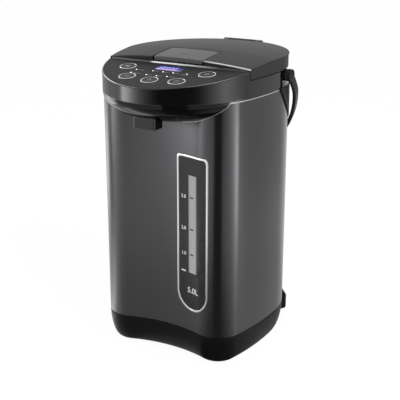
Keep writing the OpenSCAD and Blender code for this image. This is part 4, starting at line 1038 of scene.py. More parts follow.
def collar_band():
    """The glossy band with its nose, the recesses beside the handle and the bosses of the handle's hubs."""
    edge = size_of("border_round")
    ends = [y + step for y in (POCKET_FRONT, POCKET_BACK) for step in (-0.4, 0.4)]
    line = COLLAR.cut(1, WALL_Y - 0.02, WALL_Y + 0.02, *ends)
    y = line.points[:, 1]
    front = y < WALL_Y
    top = np.where(front, panel_z(y), RIM_Z)
    pocket = np.where((y > POCKET_FRONT) & (y < POCKET_BACK), POCKET_DEPTH, 0.0)
    round_by = np.where(front, edge, 0.5)
    foot = ((COLLAR_WALL, 0), (0.5, 0), (0.15, 0.15), (0, 0.5), (0, 1.15), (0.02, 1.2), (pocket, 1.25))
    rings = [line.ring(inset, JACKET_TOP + up) for inset, up in foot]
    for k in range(7):
        t = math.radians(90 * k / 6)
        rings.append(line.ring(pocket + round_by * (1 - math.cos(t)), top - round_by * (1 - math.sin(t))))
    inner = np.where(front, BORDER, pocket + COLLAR_WALL)
    low = np.where(front, top - 3, DECK_TOP)
    rings += [line.ring(inner, top), line.ring(inner, low), line.ring(np.maximum(inner, COLLAR_WALL), low)]
    band = Form().skin(rings, around=True)
    bore = PIVOT_R + 0.1
    boss = [(BOSS_R, 0), (BOSS_R, BOSS_H - 0.4), (BOSS_R - 0.3, BOSS_H), (bore, BOSS_H), (bore, 0)]
    for side in (1, -1):
        band.turned(boss, hub_place(side, BOSS_X))
    piece(band, "collar_band", gloss_black(), "housing", ("collar",))


def collar_apron():
    """The plain skirt behind the handle, which hangs lower towards the back."""
    ease = 1.2
    line = JACKET.cut(1, APRON_Y, APRON_Y + ease)
    keep = [k for k, p in enumerate(line.points) if p[1] >= APRON_Y - 0.001]
    y = line.points[keep][:, 1]
    share = np.clip((y - APRON_Y) / APRON_RUN, 0, 1)
    fall = JACKET_TOP - APRON_H * (1 - (1 - share) ** 1.6)
    ramp = np.clip((y - APRON_Y) / ease, 0.1, 1)
    rings = []
    for up, top, inset in ((0, 0, -0.1), (0, 0, -1.1), (0.15, 0, -1.36), (0.5, 0, -1.5), (0, 1.05, -1.5),
                           (0, 1.2, -1.35), (0, 1.2, 0.4)):
        z = np.where(top > 0, JACKET_TOP + top, np.minimum(fall + up, JACKET_TOP + 1))
        shift = inset * ramp if inset < 0 else inset * np.ones(len(keep))
        flat = line.points[keep] - line.out[keep] * shift[:, None]
        rings.append(np.column_stack([flat, z]))
    form = Form().skin(rings, closed=False)
    piece(form, "collar_apron", base_black(), "housing")


def wall_half():
    """Half the length of the wall behind the panel."""
    return abs(COLLAR.points[np.argmin(np.abs(COLLAR.points[:, 1] - WALL_Y))][0]) - 1.6


def collar_deck():
    """The deck round the pot's mouth, with the wall behind the panel."""
    ring = [(p[0], p[1]) for p in COLLAR.ring(WALL_T, 0) if p[1] > WALL_Y + 0.3]
    turns = np.linspace(0, 2 * math.pi, 72, endpoint=False)
    hole = [(DECK_HOLE * math.cos(t), POT_Y + DECK_HOLE * math.sin(t)) for t in turns]
    deck = Form()
    deck.sheet(ring, lambda px, py: (px, py, DECK_TOP), 14, holes=(hole,))
    deck.sheet(ring, lambda px, py: (px, py, DECK_LOW), 14, holes=(hole,), flip=True)
    deck.skin([[(px, py, z) for px, py in hole] for z in (DECK_TOP, DECK_LOW)])
    deck.box(-wall_half(), wall_half(), WALL_Y - WALL_T, WALL_Y, DECK_LOW, PANEL_Z - 0.02)
    piece(deck, "collar_deck", lid_grain(), "housing")


def panel_ledge():
    """The strip along the panel's upper end, with its tips turned down and a highlight painted into its
    colour.
    """
    half = wall_half() - 1.2
    profile = [(-52.2, -0.3), (-52.0, 0.0), (-50.0, 1.3), (-49.7, 1.35), (-49.5, 1.2), (-49.5, -4.0)]
    rings = []
    for x in (-half, *np.linspace(-half + 0.6, half - 0.6, 60), half):
        drop = 1.0 if abs(x) == half else 0.0
        rings.append([(x, y, PANEL_Z + z - drop) for y, z in profile])
    form = Form().skin(rings, first=True, last=True)
    piece(form, "panel_ledge", ledge_painted_highlight(), "housing")


class THERMO_OT_collar(bpy.types.Operator):
    """Add the collar: its band, rear apron, deck and the wall behind the panel"""

    bl_idname = "thermo.collar"
    bl_label = "Collar"

    def execute(self, context):
        collar_band()
        collar_apron()
        collar_deck()
        panel_ledge()
        return {"FINISHED"}


# ------------------------------------------------------------------ gauge


def gauge_outline(inset):
    """The gauge frame's outline in its own plane, some way inside its outer edge."""
    r, corner = GAUGE_HALF - inset, GAUGE_CORNER
    base = np.array([GAUGE_X, GAUGE_LOW + GAUGE_HALF])
    points = arc(base, r, math.pi, 2 * math.pi, 30)
    points.append(base + [r, 0])
    tall = GAUGE_TOP - inset
    points += [np.array([GAUGE_X + r, z]) for z in np.arange(base[1] + 12, tall - corner, 12)]
    points += arc(np.array([GAUGE_X + r - corner, tall - corner]), corner, 0, math.pi / 2, 8)
    points += [np.array([GAUGE_X + u, tall]) for u in np.linspace(r - corner, corner - r, 12, endpoint=False)]
    points += arc(np.array([GAUGE_X - r + corner, tall - corner]), corner, math.pi / 2, math.pi, 8)
    points += [np.array([GAUGE_X - r, z]) for z in np.arange(tall - corner, base[1] + 1, -12)]
    return points


def lettering(form, text, size, x, z, proud):
    """Numerals on the jacket's front wall."""
    curve = bpy.data.curves.new("numerals", "FONT")
    curve.body = text
    curve.align_x = "CENTER"
    curve.align_y = "CENTER"
    curve.size = size
    curve.offset = 0.02 * size
    item = bpy.data.objects.new("numerals", curve)
    bpy.context.scene.collection.objects.link(item)
    graph = bpy.context.evaluated_depsgraph_get()
    mesh = bpy.data.meshes.new_from_object(item.evaluated_get(graph), depsgraph=graph)
    points = [on_front(x + v.co.x, z + v.co.y, proud) for v in mesh.vertices]
    form.add(points, [tuple(p.vertices) for p in mesh.polygons])
    bpy.data.objects.remove(item)
    bpy.data.meshes.remove(mesh)
    bpy.data.curves.remove(curve)


def bar_on_front(form, x, z, half, thick, proud):
    """A printed bar that follows the jacket's front wall."""
    spread = np.linspace(-half, half, 7)
    form.skin([[on_front(x + u, z + v, proud) for u in spread] for v in (-thick, thick)], closed=False)


def gauge_frame():
    """The silver frame, rounded at its front."""
    profile = [(0.0, -0.6), (0.0, 0.35), (0.12, 0.62), (0.4, 0.82), (0.8, 0.9), (1.7, 0.9), (2.2, 0.8),
               (2.5, 0.55), (BEZEL_W, 0.2), (BEZEL_W, -0.6)]
    rings = [[on_front(x, z, proud) for x, z in gauge_outline(inset)] for inset, proud in profile]
    form = Form().skin(rings, around=True)
    piece(form, "gauge_frame", silver(), "housing", ("gauge_bezel",), angle=50)


def gauge_panel():
    """The dark fascia, with an opening for the window."""
    proud, deep = 0.4, -0.9
    edge = [tuple(p) for p in gauge_outline(BEZEL_W - 0.2)]
    corners = ((-1, WINDOW_LOW), (1, WINDOW_LOW), (1, WINDOW_TOP), (-1, WINDOW_TOP))
    slot = [(GAUGE_X + side * WINDOW_HALF, z) for side, z in corners]
    form = Form().sheet(edge, lambda x, z: on_front(x, z, proud), (2.0, 16.0), holes=(slot,), flip=True)
    form.skin([[on_front(x, z, level) for x, z in slot] for level in (proud, deep)])
    sheet_piece(form, "gauge_panel", fascia_black(), ("gauge_fascia",))


def gauge_window():
    """The window in the fascia, a little rounded from side to side."""
    spread = np.linspace(-WINDOW_HALF + 0.1, WINDOW_HALF - 0.1, 9)
    rows = [[on_front(GAUGE_X + u, z, 0.3 - 0.25 * (u / WINDOW_HALF) ** 4) for u in spread]
            for z in (WINDOW_LOW, WINDOW_TOP)]
    form = Form().skin(rows, closed=False)
    sheet_piece(form, "gauge_window", window_frost(), ("gauge_lens",), thick=1.0)


def gauge_print():
    """Marks on the window, and numerals and a dash beside and below it."""
    marks, light = Form(), Form()
    for z, text in LEVELS:
        bar_on_front(marks, GAUGE_X - 1.1, z, 2.5, 0.8, 0.5)
        lettering(light, text, LEVEL_SIZE, LEVEL_X, z, 0.46)
    bar_on_front(light, LEVEL_X - 0.2, DASH_Z, 3.2, 0.9, 0.55)
    lettering(light, "5.0L", VOLUME_SIZE, VOLUME_X, VOLUME_Z, 0.46)
    for form, name, ink in ((marks, "level_marks", print_ink("dark_print", 0.02, 0.02, 0.02)),
                            (light, "numerals", print_ink("white_print", 0.92, 0.92, 0.92))):
        sheet_piece(form, name, ink, thick=0.05, offset=0, angle=None)


class THERMO_OT_gauge(bpy.types.Operator):
    """Add the level gauge with its frame, fascia, window, marks and numerals"""

    bl_idname = "thermo.gauge"
    bl_label = "Level gauge"

    def execute(self, context):
        gauge_frame()
        gauge_panel()
        gauge_window()
        gauge_print()
        return {"FINISHED"}


# ------------------------------------------------------------------ panel


def stroke(form, place, x0, y0, x1, y1, width, z0, z1):
    """A straight bar on a panel, from one point to another."""
    run = Vector((x1 - x0, y1 - y0, 0))
    turn = Matrix.Translation((x0, y0, 0)) @ Matrix.Rotation(math.atan2(run.y, run.x), 4, "Z")
    form.box(0, run.length, -width / 2, width / 2, z0, z1, place @ turn)


def open_ring(form, place, x, y, radius, a0, a1, width, z0, z1, steps=18):
    """Part of a flat ring on a panel."""
    inner, outer = radius - width / 2, radius + width / 2
    turns = [math.radians(a0 + (a1 - a0) * k / steps) for k in range(steps + 1)]
    rings = []
    for r, z in ((inner, z0), (outer, z0), (outer, z1), (inner, z1)):
        rings.append([place @ Vector((x + r * math.cos(t), y + r * math.sin(t), z)) for t in turns])
    form.skin(rings, closed=False, around=True)


def key_sign(name, form, place, z0, z1):
    """A plain sign on a key: padlock, turning arrow, drop, bowl of warmth or power mark."""
    if name == "unlock":
        form.box(-2.6, 2.6, -2.4, 0.4, z0, z1, place)
        open_ring(form, place, 0, 0.6, 1.7, 0, 180, 0.6, z0, z1)
    elif name == "reboil":
        open_ring(form, place, 0, 0, 2.4, 40, 330, 0.7, z0, z1)
        stroke(form, place, 1.1, -1.6, 3.2, -1.0, 0.7, z0, z1)
    elif name == "dispense":
        open_ring(form, place, 0, -0.8, 1.7, 150, 390, 0.6, z0, z1)
        stroke(form, place, -1.5, 0.1, 0, 3.1, 0.6, z0, z1)
        stroke(form, place, 1.5, 0.1, 0, 3.1, 0.6, z0, z1)
    elif name == "keep_warm":
        open_ring(form, place, 0, 0.6, 3.0, 200, 340, 0.6, z0, z1)
        for u in (-1.5, 0, 1.5):
            stroke(form, place, u, 0.2, u, 2.4, 0.5, z0, z1)
    else:
        open_ring(form, place, 0, 0, 2.5, 120, 420, 0.6, z0, z1)
        stroke(form, place, 0, 0.5, 0, 3.2, 0.6, z0, z1)


def key_rings():
    """A silver ring round each key."""
    profile = ((0.2, -1.0), (0.2, 0.3), (0.35, 0.52), (0.7, 0.6), (1.05, 0.52), (1.2, 0.3), (1.2, -1.0))
    ring = Form().turned([(KEY_R + d, z) for d, z in profile], Matrix(), 64, around=True)
    spots = [tuple(on_panel(x, y).translation) for _, x, y in KEYS]
    repeated("key_rings_trim", ring, spots, silver(), ("key_rings",), tilt=PANEL_TILT)


def keys():
    """The five keys, each a shallow dished cap with its sign."""
    cap = [(0.01, -3.6), (KEY_R - 0.15, -3.6), (KEY_R, -3.4), (KEY_R, 0.35), (KEY_R - 0.1, 0.62),
           (KEY_R - 0.4, 0.8), (7.4, 0.84), (6.0, 0.7), (3.0, 0.5), (0.01, 0.45)]
    paint = finish("key_satin", (0.02, 0.02, 0.0205), 0.34, grain=FINE, bump=0.08, specular_ior_level=0.06)
    ink = print_ink("key_print", 0.28, 0.27, 0.27)
    for name, x, y in KEYS:
        body, place = "key_" + name, on_panel(x, y)
        form = Form().turned(cap, place, 64)
        piece(form, name + "_cap", paint, body, (name + "_key",))
        sign = Form()
        key_sign(name, sign, place, 0.45, 0.72)
        piece(sign, name + "_sign", ink, body)


def lamps():
    """Indicator lamps in three tints."""
    profile = [(0.01, -1.0), (1.0, -1.0), (1.0, 0.05), (0.9, 0.2), (0.6, 0.32), (0.01, 0.38)]
    lens = Form().turned(profile, Matrix(), 16)
    tints = (
        ("warm", (1.0, 0.82, 0.62), (2, 4), ("indicator_lenses",)),
        ("cool", (0.86, 0.95, 0.9), (0, 3, 5, 6, 7, 8), ()),
        ("rose", (1.0, 0.72, 0.72), (1,), ()),
    )
    for tint, colour, members, stands in tints:
        spots = [tuple(on_panel(*LAMPS[m]).translation) for m in members]
        repeated("lamps_" + tint, lens, spots, lamp("lamp_" + tint, colour, 0.75), stands,
                 tilt=PANEL_TILT)


def lamp_notes():
    """Rows of small dashes that stand for the lamps' captions: beside each lamp, or below the fifth."""
    notes = Form()
    pitch, lengths = 1.6, (9, 6, 6, 6, 9, 12, 6, 6, 9)
    for k, ((x, y), length) in enumerate(zip(LAMPS, lengths)):
        place = on_panel(x, y)
        dx, dy = (-5.0, -3.4) if k == 4 else (2.6, 0.0)
        for n in range(int(length // pitch)):
            x0 = dx + n * pitch
            stroke(notes, place, x0, dy, x0 + 1.1, dy, 1.3 - 0.5 * (n % 2), -0.02, 0.05)
    piece(notes, "lamp_notes", print_ink("grey_print", 0.22, 0.22, 0.22), "housing")


def display():
    """The display's glass, with rows of lit cells and bars that spell nothing."""
    place = on_panel(0, DISPLAY_Y)
    line = Outline(rounded_rect(DISPLAY_W / 2, DISPLAY_H / 2, 1.0, 4))
    levels = ((0, -2.6), (0, -0.25), (0.12, -0.1), (0.3, -0.06))
    rings = [[place @ Vector(p) for p in line.ring(inset, z)] for inset, z in levels]
    form = Form().skin(rings, first=True, last=True)
    piece(form, "display_glass", display_blue(), "housing", ("display_window",))

    z0, z1 = -0.05, 0.02
    cells, bars = Form(), Form()
    for k in range(8):
        x0 = -13.6 + 3.0 * k
        tall = 3.6 if k % 3 else 2.6
        stroke(cells, place, x0, 1.5, x0 + 2.0, 1.5, 0.8, z0, z1)
        stroke(cells, place, x0 + 0.4, 1.5, x0 + 0.4, 1.5 + tall, 0.8, z0, z1)
        if k % 2:
            stroke(cells, place, x0, 1.5 + tall, x0 + 2.0, 1.5 + tall, 0.8, z0, z1)
    for k in range(11):
        x0 = -14.4 + 2.3 * k
        stroke(bars, place, x0, -2.7, x0 + 1.4, -2.7, 2.4 - 0.9 * (k % 3 == 1), z0, z1)
    piece(cells, "display_cells", lamp("cell_blue", (0.36, 0.4, 0.9), 0.6), "housing")
    piece(bars, "display_bars", lamp("cell_rose", (0.85, 0.5, 0.66), 0.5), "housing")


class THERMO_OT_panel(bpy.types.Operator):
    """Add the keys, their rings, the lamps and the display to the sloping panel"""

    bl_idname = "thermo.panel"
    bl_label = "Key panel"

    def execute(self, context):
        dress(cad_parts["panel_fascia"], panel_satin())
        key_rings()
        keys()
        lamps()
        lamp_notes()
        display()
        return {"FINISHED"}


# ------------------------------------------------------------------ lid


def lid_plan():
    """The lid's plan: the collar's outline, cut straight at the front and notched for the hinge."""
    line = COLLAR.cut(1, -LID_FRONT).cut(0, NOTCH_HALF, -NOTCH_HALF)
    points = [p for p in line.points if p[1] >= -LID_FRONT - 0.001]
    points = [p for p in points if p[1] < 60 or abs(p[0]) >= NOTCH_HALF - 0.01]
    right = [p for p in points if p[0] > 0]
    left = [p for p in points if p[0] < 0]
    notch = [np.array([side * NOTCH_HALF, NOTCH_Y]) for side in (1, -1)]
    front = [np.array([x, -LID_FRONT]) for x in np.linspace(left[-1][0], right[0][0], 30)[1:-1]]
    return Outline(right + notch + left + front)


def dome(form, line, base_inset, edge, low, spacing=6.0):
    """A crowned top with rounded edges and a wall down to a height. Returns the wall's foot ring."""
    rings = []
    edge = np.broadcast_to(edge, len(line.points))
    for k in range(7):
        t = math.radians(90 * k / 6)
        flat = line.ring(base_inset + edge * (1 - math.sin(t)), 0)
        z = np.array([crown(p[0], p[1]) for p in flat]) - edge * (1 - math.cos(t))
        rings.append(np.column_stack([flat[:, :2], z]))
    outer = rings[0]
    crease = []
    if outer[:, 1].min() < CREASE_Y < outer[:, 1].max():
        for y in (CREASE_Y - 0.7, CREASE_Y, CREASE_Y + 0.7):
            half = max(p[0] for p in outer if abs(p[1] - y) < 4) - 1.2
            crease.append([(x, y) for x in np.linspace(-half, half, 41)])
    form.sheet([(p[0], p[1]) for p in outer], lambda px, py: (px, py, crown(px, py)), spacing, lines=crease)
    rings.append(np.column_stack([rings[-1][:, :2], np.broadcast_to(low, len(outer))]))
    form.skin(rings)
    return rings[-1]


def front_edge(line, wide, plain):
    """Edge rounding per point: wide along the straight front, plain elsewhere."""
    near = np.clip((line.points[:, 1] + LID_FRONT) / 6, 0, 1)
    return wide + (plain - wide) * near


def lid_shell():
    """The crowned lid, stepped in at its side, hollow, with its latch recess, bolt slot and vents."""
    line = lid_plan()
    height = np.array([crown(p[0], p[1]) for p in line.points])
    x, y = line.points[:, 0], line.points[:, 1]
    straight = (y < -LID_FRONT + 0.01) | ((y > NOTCH_Y - 1.5) & (np.abs(x) < NOTCH_HALF + 0.5))
    inset = np.where(straight, 0, LID_TUCK * (1 - np.clip((height - LID_STEP_Z - 0.2) / 0.7, 0, 1)))
    edge = front_edge(line, 1.5, size_of("edge_round"))
    form = Form()
    foot = dome(form, line, inset, edge, np.minimum(LID_STEP_Z, height - edge - 0.1))
    tuck = np.where(straight, 0, LID_TUCK)
    rings = [foot, line.ring(tuck, foot[:, 2])]
    for further, z in ((0, LID_LOW + 0.3), (0.3, LID_LOW), (LID_WALL, LID_LOW), (LID_WALL, LID_CEILING)):
        rings.append(line.ring(tuck + further, z))
    form.skin(rings)
    ceiling = [(p[0], p[1]) for p in rings[-1]]
    form.sheet(ceiling, lambda px, py: (px, py, LID_CEILING), 20, flip=True)
    tub = Form().box(-TUB_HALF, TUB_HALF, -90, TUB_BACK, TUB_FLOOR, 400)
    slot = Form().box(-SLOT_HALF, SLOT_HALF, -90, SLOT_BACK, SLOT_LOW, SLOT_TOP)
    vents = Form()
    for a in range(118, 135, 4):
        turn = Matrix.Translation((0, BACK_C[1], 0)) @ Matrix.Rotation(math.radians(a), 4, "Z")
        vents.box(89.5, 104, -1, 1, LID_LOW + 4, LID_LOW + 9, turn)
    # the lid's outer shell carries a painted highlight along the right half of its front edge
    piece(form, "lid_shell", lid_grain("lid_front", paint_lid_edge_highlight), "lid", ("lid_outer",),
          carved=(tub, slot, vents), angle=28)


def hinge_barrel():
    """The lid's barrel on the hinge pin, with the web that carries it."""
    bore, end = 2.6, HINGE_HALF - 0.3
    profile = [(bore, -HINGE_HALF), (HINGE_R - 0.3, -HINGE_HALF), (HINGE_R, -end), (HINGE_R, end),
               (HINGE_R - 0.3, HINGE_HALF), (bore, HINGE_HALF)]
    place = Matrix.Translation((0, HINGE_Y, HINGE_Z)) @ Matrix.Rotation(math.pi / 2, 4, "Y")
    barrel = Form().turned(profile, place, 48)
    barrel.box(-17.4, 17.4, 99.8, HINGE_Y, HINGE_Z - 6, HINGE_Z + 5)
    piece(barrel, "hinge_barrel", lid_grain(), "lid")


class THERMO_OT_lid(bpy.types.Operator):
    """Add the lid with its two slopes, side step, latch recess, vents and hinge barrel"""

    bl_idname = "thermo.lid"
    bl_label = "Lid"

    def execute(self, context):
        lid_shell()
        hinge_barrel()
        return {"FINISHED"}


def latch_plan():
    """The latch plate's plan, with points close enough for the dome over it."""
    front, back, step = -LID_FRONT + 0.2, LATCH_BACK, 4
    middle = np.array([0, (front + back) / 2])
    corners = [middle + p for p in rounded_rect(LATCH_HALF, (back - front) / 2, 1.4, 4)]
    fine = []
    for p, q in zip(corners, corners[1:] + corners[:1]):
        count = max(1, int(np.linalg.norm(q - p) // step))
        fine += [p + (q - p) * k / count for k in range(count)]
    return Outline(fine)


def latch_plate():
    """The plate with its front lip and the stem that its pin goes through."""
    line = latch_plan()
    low = np.where(line.points[:, 1] < -LID_FRONT + 0.5, LIP_LOW, LATCH_LOW)
    form = Form()
    foot = dome(form, line, np.zeros(len(low)), front_edge(line, 1.3, 0.5), low)
    form.skin([foot, line.ring(1.5, low), line.ring(1.6, LATCH_LOW)], last=True)
    form.box(-5.5, 5.5, STEM_Y - 3, STEM_Y + 3, STEM_LOW, LATCH_LOW + 0.5)
    across = Matrix.Translation((0, STEM_Y, PEG_Z)) @ Matrix.Rotation(math.pi / 2, 4, "Y")
    form.turned([(1.2, -8.2), (1.2, 8.2)], across, 20)
    spring = Form().box(9, 15, -16.5, 0, LATCH_LOW - 1, 354.1)
    piece(form, "latch_plate", latch_grain(), "latch", ("latch_lever",), carved=(spring,))


def latch_arch():
    """A shallow arch on the plate, where a finger lifts it."""
    y = STEM_Y - 4
    sign = Form()
    place = Matrix.Translation((0, y, crown(0, y))) @ Matrix.Rotation(math.radians(5.5), 4, "X")
    open_ring(sign, place, 0, -6, 8.0, 60, 120, 0.9, -0.1, 0.12)
    piece(sign, "latch_arch", lid_grain(), "latch")


class THERMO_OT_latch(bpy.types.Operator):
    """Add the latch plate in the lid's front slope"""

    bl_idname = "thermo.latch"
    bl_label = "Latch plate"

    def execute(self, context):
        latch_plate()
        latch_arch()
        return {"FINISHED"}


# ------------------------------------------------------------------ handle


def bail_line(share, radius, side):
    """A point of the handle's bow in its own plane: round behind, straight beside the collar."""
    a0 = math.asin((PIVOT_Y - BACK_C[1]) / radius)
    a = a0 + (math.pi - 2 * a0) * share
    x = radius * math.cos(a)
    x *= (1 + (abs(x) / side) ** BAIL_BLEND) ** (-1 / BAIL_BLEND)
    return np.array([x, (BACK_C[1] + radius * math.sin(a) - PIVOT_Y) / math.cos(BAIL_DROP)])


def bail_bow():
    """The bow of the handle, hanging: one rounded section along its line."""
    place = Matrix.Translation((0, PIVOT_Y, PIVOT_Z)) @ Matrix.Rotation(-BAIL_DROP, 4, "X")
    steps = 96
    rings = []
    for k in range(steps + 1):
        inner = bail_line(k / steps, BAIL_IN, HUB_OUT - BAIL_T)
        outer = bail_line(k / steps, BAIL_IN + BAIL_T, HUB_OUT)
        ring = []
        for u, v in rounded_rect(BAIL_T / 2, BAIL_W / 2, 1.1, 4):
            spot = inner + (outer - inner) * (u / BAIL_T + 0.5)
            ring.append(place @ Vector((spot[0], spot[1], v)))
        rings.append(ring)
    return Form().skin(rings, first=True, last=True)


class THERMO_OT_handle(bpy.types.Operator):
    """Add the swinging handle with its hubs and pins"""

    bl_idname = "thermo.handle"
    bl_label = "Handle"

    def execute(self, context):
        sunk, cap, bore = HUB_OUT - CAP_T - 0.6, HUB_OUT - 0.3, PIVOT_R + 0.05
        hub = [(bore, HUB_FACE), (HUB_R - 0.4, HUB_FACE), (HUB_R, HUB_FACE + 0.4), (HUB_R, HUB_OUT - 0.8),
               (HUB_R - 0.25, HUB_OUT - 0.25), (HUB_R - 0.8, HUB_OUT), (CAP_R + 0.6, HUB_OUT),
               (CAP_R + 0.5, HUB_OUT - 0.1), (CAP_R + 0.5, sunk), (bore, sunk)]
        pin = [(PIVOT_R, PIVOT_IN), (PIVOT_R, sunk + 0.3), (CAP_R, sunk + 0.3), (CAP_R, cap - 0.4),
               (CAP_R - 0.15, cap - 0.1), (CAP_R - 0.5, cap), (1.6, cap), (1.2, cap - 0.35),
               (0.01, cap - 0.4)]
        bail, pins = bail_bow(), Form()
        for side in (1, -1):
            bail.turned(hub, hub_place(side), 56, around=True)
            pins.turned(pin, hub_place(side))
        piece(bail, "bail", handle_satin(), "bail", ("handle",))
        piece(pins, "bail_pins", base_black(), "housing", ("handle_pins",))
        return {"FINISHED"}


# ------------------------------------------------------------------ inner works


def dress(node, material):
    """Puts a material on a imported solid."""
    for slot in node.material_slots:
        slot.material = material
    if not node.material_slots:
        node.data.materials.append(material)


class THERMO_OT_inside(bpy.types.Operator):
    """Finish the pieces inside: pot, pump, boards, hoses, hinge and screws"""

    bl_idname = "thermo.inside"
    bl_label = "Inner works"

    def execute(self, context):
        steel = finish("pot_steel", (0.55, 0.56, 0.57), 0.26, grain=BRUSH, spread=0.14, bump=0.1,
                       metallic=1.0)
        rubber = finish("silicone", (0.62, 0.6, 0.55), 0.5, bump=0.12)
        pale = finish("pale_plastic", (0.6, 0.6, 0.58), 0.42, bump=0.1)
        black = finish("inner_black", (0.03, 0.03, 0.032), 0.42, bump=0.12)
        board = finish("board_green", (0.02, 0.12, 0.04), 0.32, second=(0.04, 0.2, 0.08), patch=(240.0, 1.0))
        wool = finish("glass_wool", (0.62, 0.58, 0.48), 0.9, second=(0.75, 0.72, 0.64), patch=(90.0, 1.0),
                      grain=(420.0, 420.0, 420.0), bump=0.6, depth=0.0006)
        cast = finish("cast_alloy", (0.45, 0.45, 0.46), 0.48, grain=(500.0, 500.0, 500.0), bump=0.4,
                      metallic=1.0)
        brass = finish("sensor_brass", (0.5, 0.4, 0.2), 0.3, metallic=1.0)
        motor = finish("motor_steel", (0.26, 0.26, 0.27), 0.36, grain=BRUSH, metallic=1.0)
        screw = screw_steel()
        tube = finish("clear_tube", (0.8, 0.84, 0.86), 0.1, bump=0.0, transmission_weight=0.6, ior=1.45)
        lots = (
            (steel, "bright_steel", "housing", "inner_pot mouth_ring pot_brackets hose_clamps"),
            (steel, "bright_steel", "lid", "lid_inner"),
            (rubber, "silicone", "housing", "outlet_elbow outlet_hose pot_gasket intake_sleeve"),
            (rubber, "silicone", "lid", "lid_gasket"),
            (pale, "pale_plastic", "housing", "gauge_backing pump_body"),
            (pale, "pale_plastic", "pump_wheel", "impeller"),
            (black, "switch_black", "housing", "pump_cover tact_switches"),
            (black, "gloss_black", "housing", "hinge_bracket"),
            (board, "board_green", "housing", "control_board power_board"),
            (wool, "wool", "housing", "insulation_sleeve"),
            (cast, "cast_alloy", "housing", "heater_plate"),
            (brass, "sensor_brass", "housing", "thermostats inlet_pins"),
            (motor, "motor_steel", "housing", "motor_can"),
            (motor, "motor_steel", "motor_rotor", "rotor"),
            (screw, "screw_steel", "housing", "pump_screws hinge_screws hinge_pin"),
            (screw, "screw_steel", "lid", "lid_screws latch_pin latch_spring"),
            (tube, "tube_clear", "housing", "gauge_tube"),
            (pale, "bolt_plastic", "lid", "steam_valve"),
            (pale, "bolt_plastic", "bolt", "latch_bolt"),
        )
        for material, slot, body, names in lots:
            for node in names.split():
                smooth_copy(node, node + "_part", material, body)
        return {"FINISHED"}


# ------------------------------------------------------------------ stage


def seen_share(wire, share):
    """A share for rays from the camera, from mirrors and through glass, and none for the rest."""
    path = wire.node("ShaderNodeLightPath").outputs
    total = path["Is Camera Ray"]
    for key in ("Is Glossy Ray", "Is Transmission Ray"):
        total = wire.reckon("ADD", total, path[key], use_clamp=True)
    return wire.reckon("MULTIPLY", total, share)


def white_floor():
    """A round floor that looks white, with a share of real shading so that shadows stay."""
    radius, steps = 6, 64
    turns = [2 * math.pi * k / steps for k in range(steps)]
    mesh = bpy.data.meshes.new("floor")
    rim = [(radius * math.cos(t), radius * math.sin(t), 0) for t in turns]
    mesh.from_pydata(rim, [], [tuple(range(steps))])
    floor = new_object(mesh, "floor")
    paint, wire = bare_material("floor_white")
    lit = wire.node("ShaderNodeBsdfDiffuse", {"Color": (0.8, 0.8, 0.8, 1)}).outputs[0]
    glow = wire.node("ShaderNodeEmission", {"Strength": 1.06}).outputs[0]
    mix = wire.node("ShaderNodeMixShader", {0: seen_share(wire, 0.9), 1: lit, 2: glow})
    wire.node("ShaderNodeOutputMaterial", {"Surface": mix.outputs[0]})
    mesh.materials.append(paint)


def glow_card(name, points, faces, glow):
    """Stages a card that glows by each point's own value and that only glossy rays meet."""
    mesh = bpy.data.meshes.new(name)
    mesh.from_pydata([(x, y + SHIFT_Y, z) for x, y, z in points], [], faces)
    level = mesh.attributes.new("glow", "FLOAT", "POINT")
    level.data.foreach_set("value", glow)
    item = new_object(mesh, name)
    paint, wire = bare_material(name)
    value = wire.node("ShaderNodeAttribute", attribute_name="glow").outputs["Fac"]
    shine = wire.node("ShaderNodeEmission", {"Strength": value}).outputs[0]
    wire.node("ShaderNodeOutputMaterial", {"Surface": shine})
    mesh.materials.append(paint)
    item.visible_camera = False
    item.visible_diffuse = False
    item.visible_shadow = False
    item.visible_transmission = False


def reflector(name, far, low, high, stops, near=None):
    """A curved card, its glow given at some bearings. near adds a strip along the floor towards the pot."""
    count = 48
    bearings, glows = zip(*stops)
    turns = np.radians(np.linspace(bearings[0], bearings[-1], count + 1))
    glow = np.interp(np.degrees(turns), bearings, glows)
    rows = [(near, low - 0.002)] * bool(near) + [(far, low), (far, high)]
    points = [(r * math.cos(t), r * math.sin(t), z) for r, z in rows for t in turns]
    corners = [row * (count + 1) + k for row in range(len(rows) - 1) for k in range(count)]
    faces = [(a, a + 1, a + count + 2, a + count + 1) for a in corners]
    glow_card(name, points, faces, np.tile(glow, len(rows)))


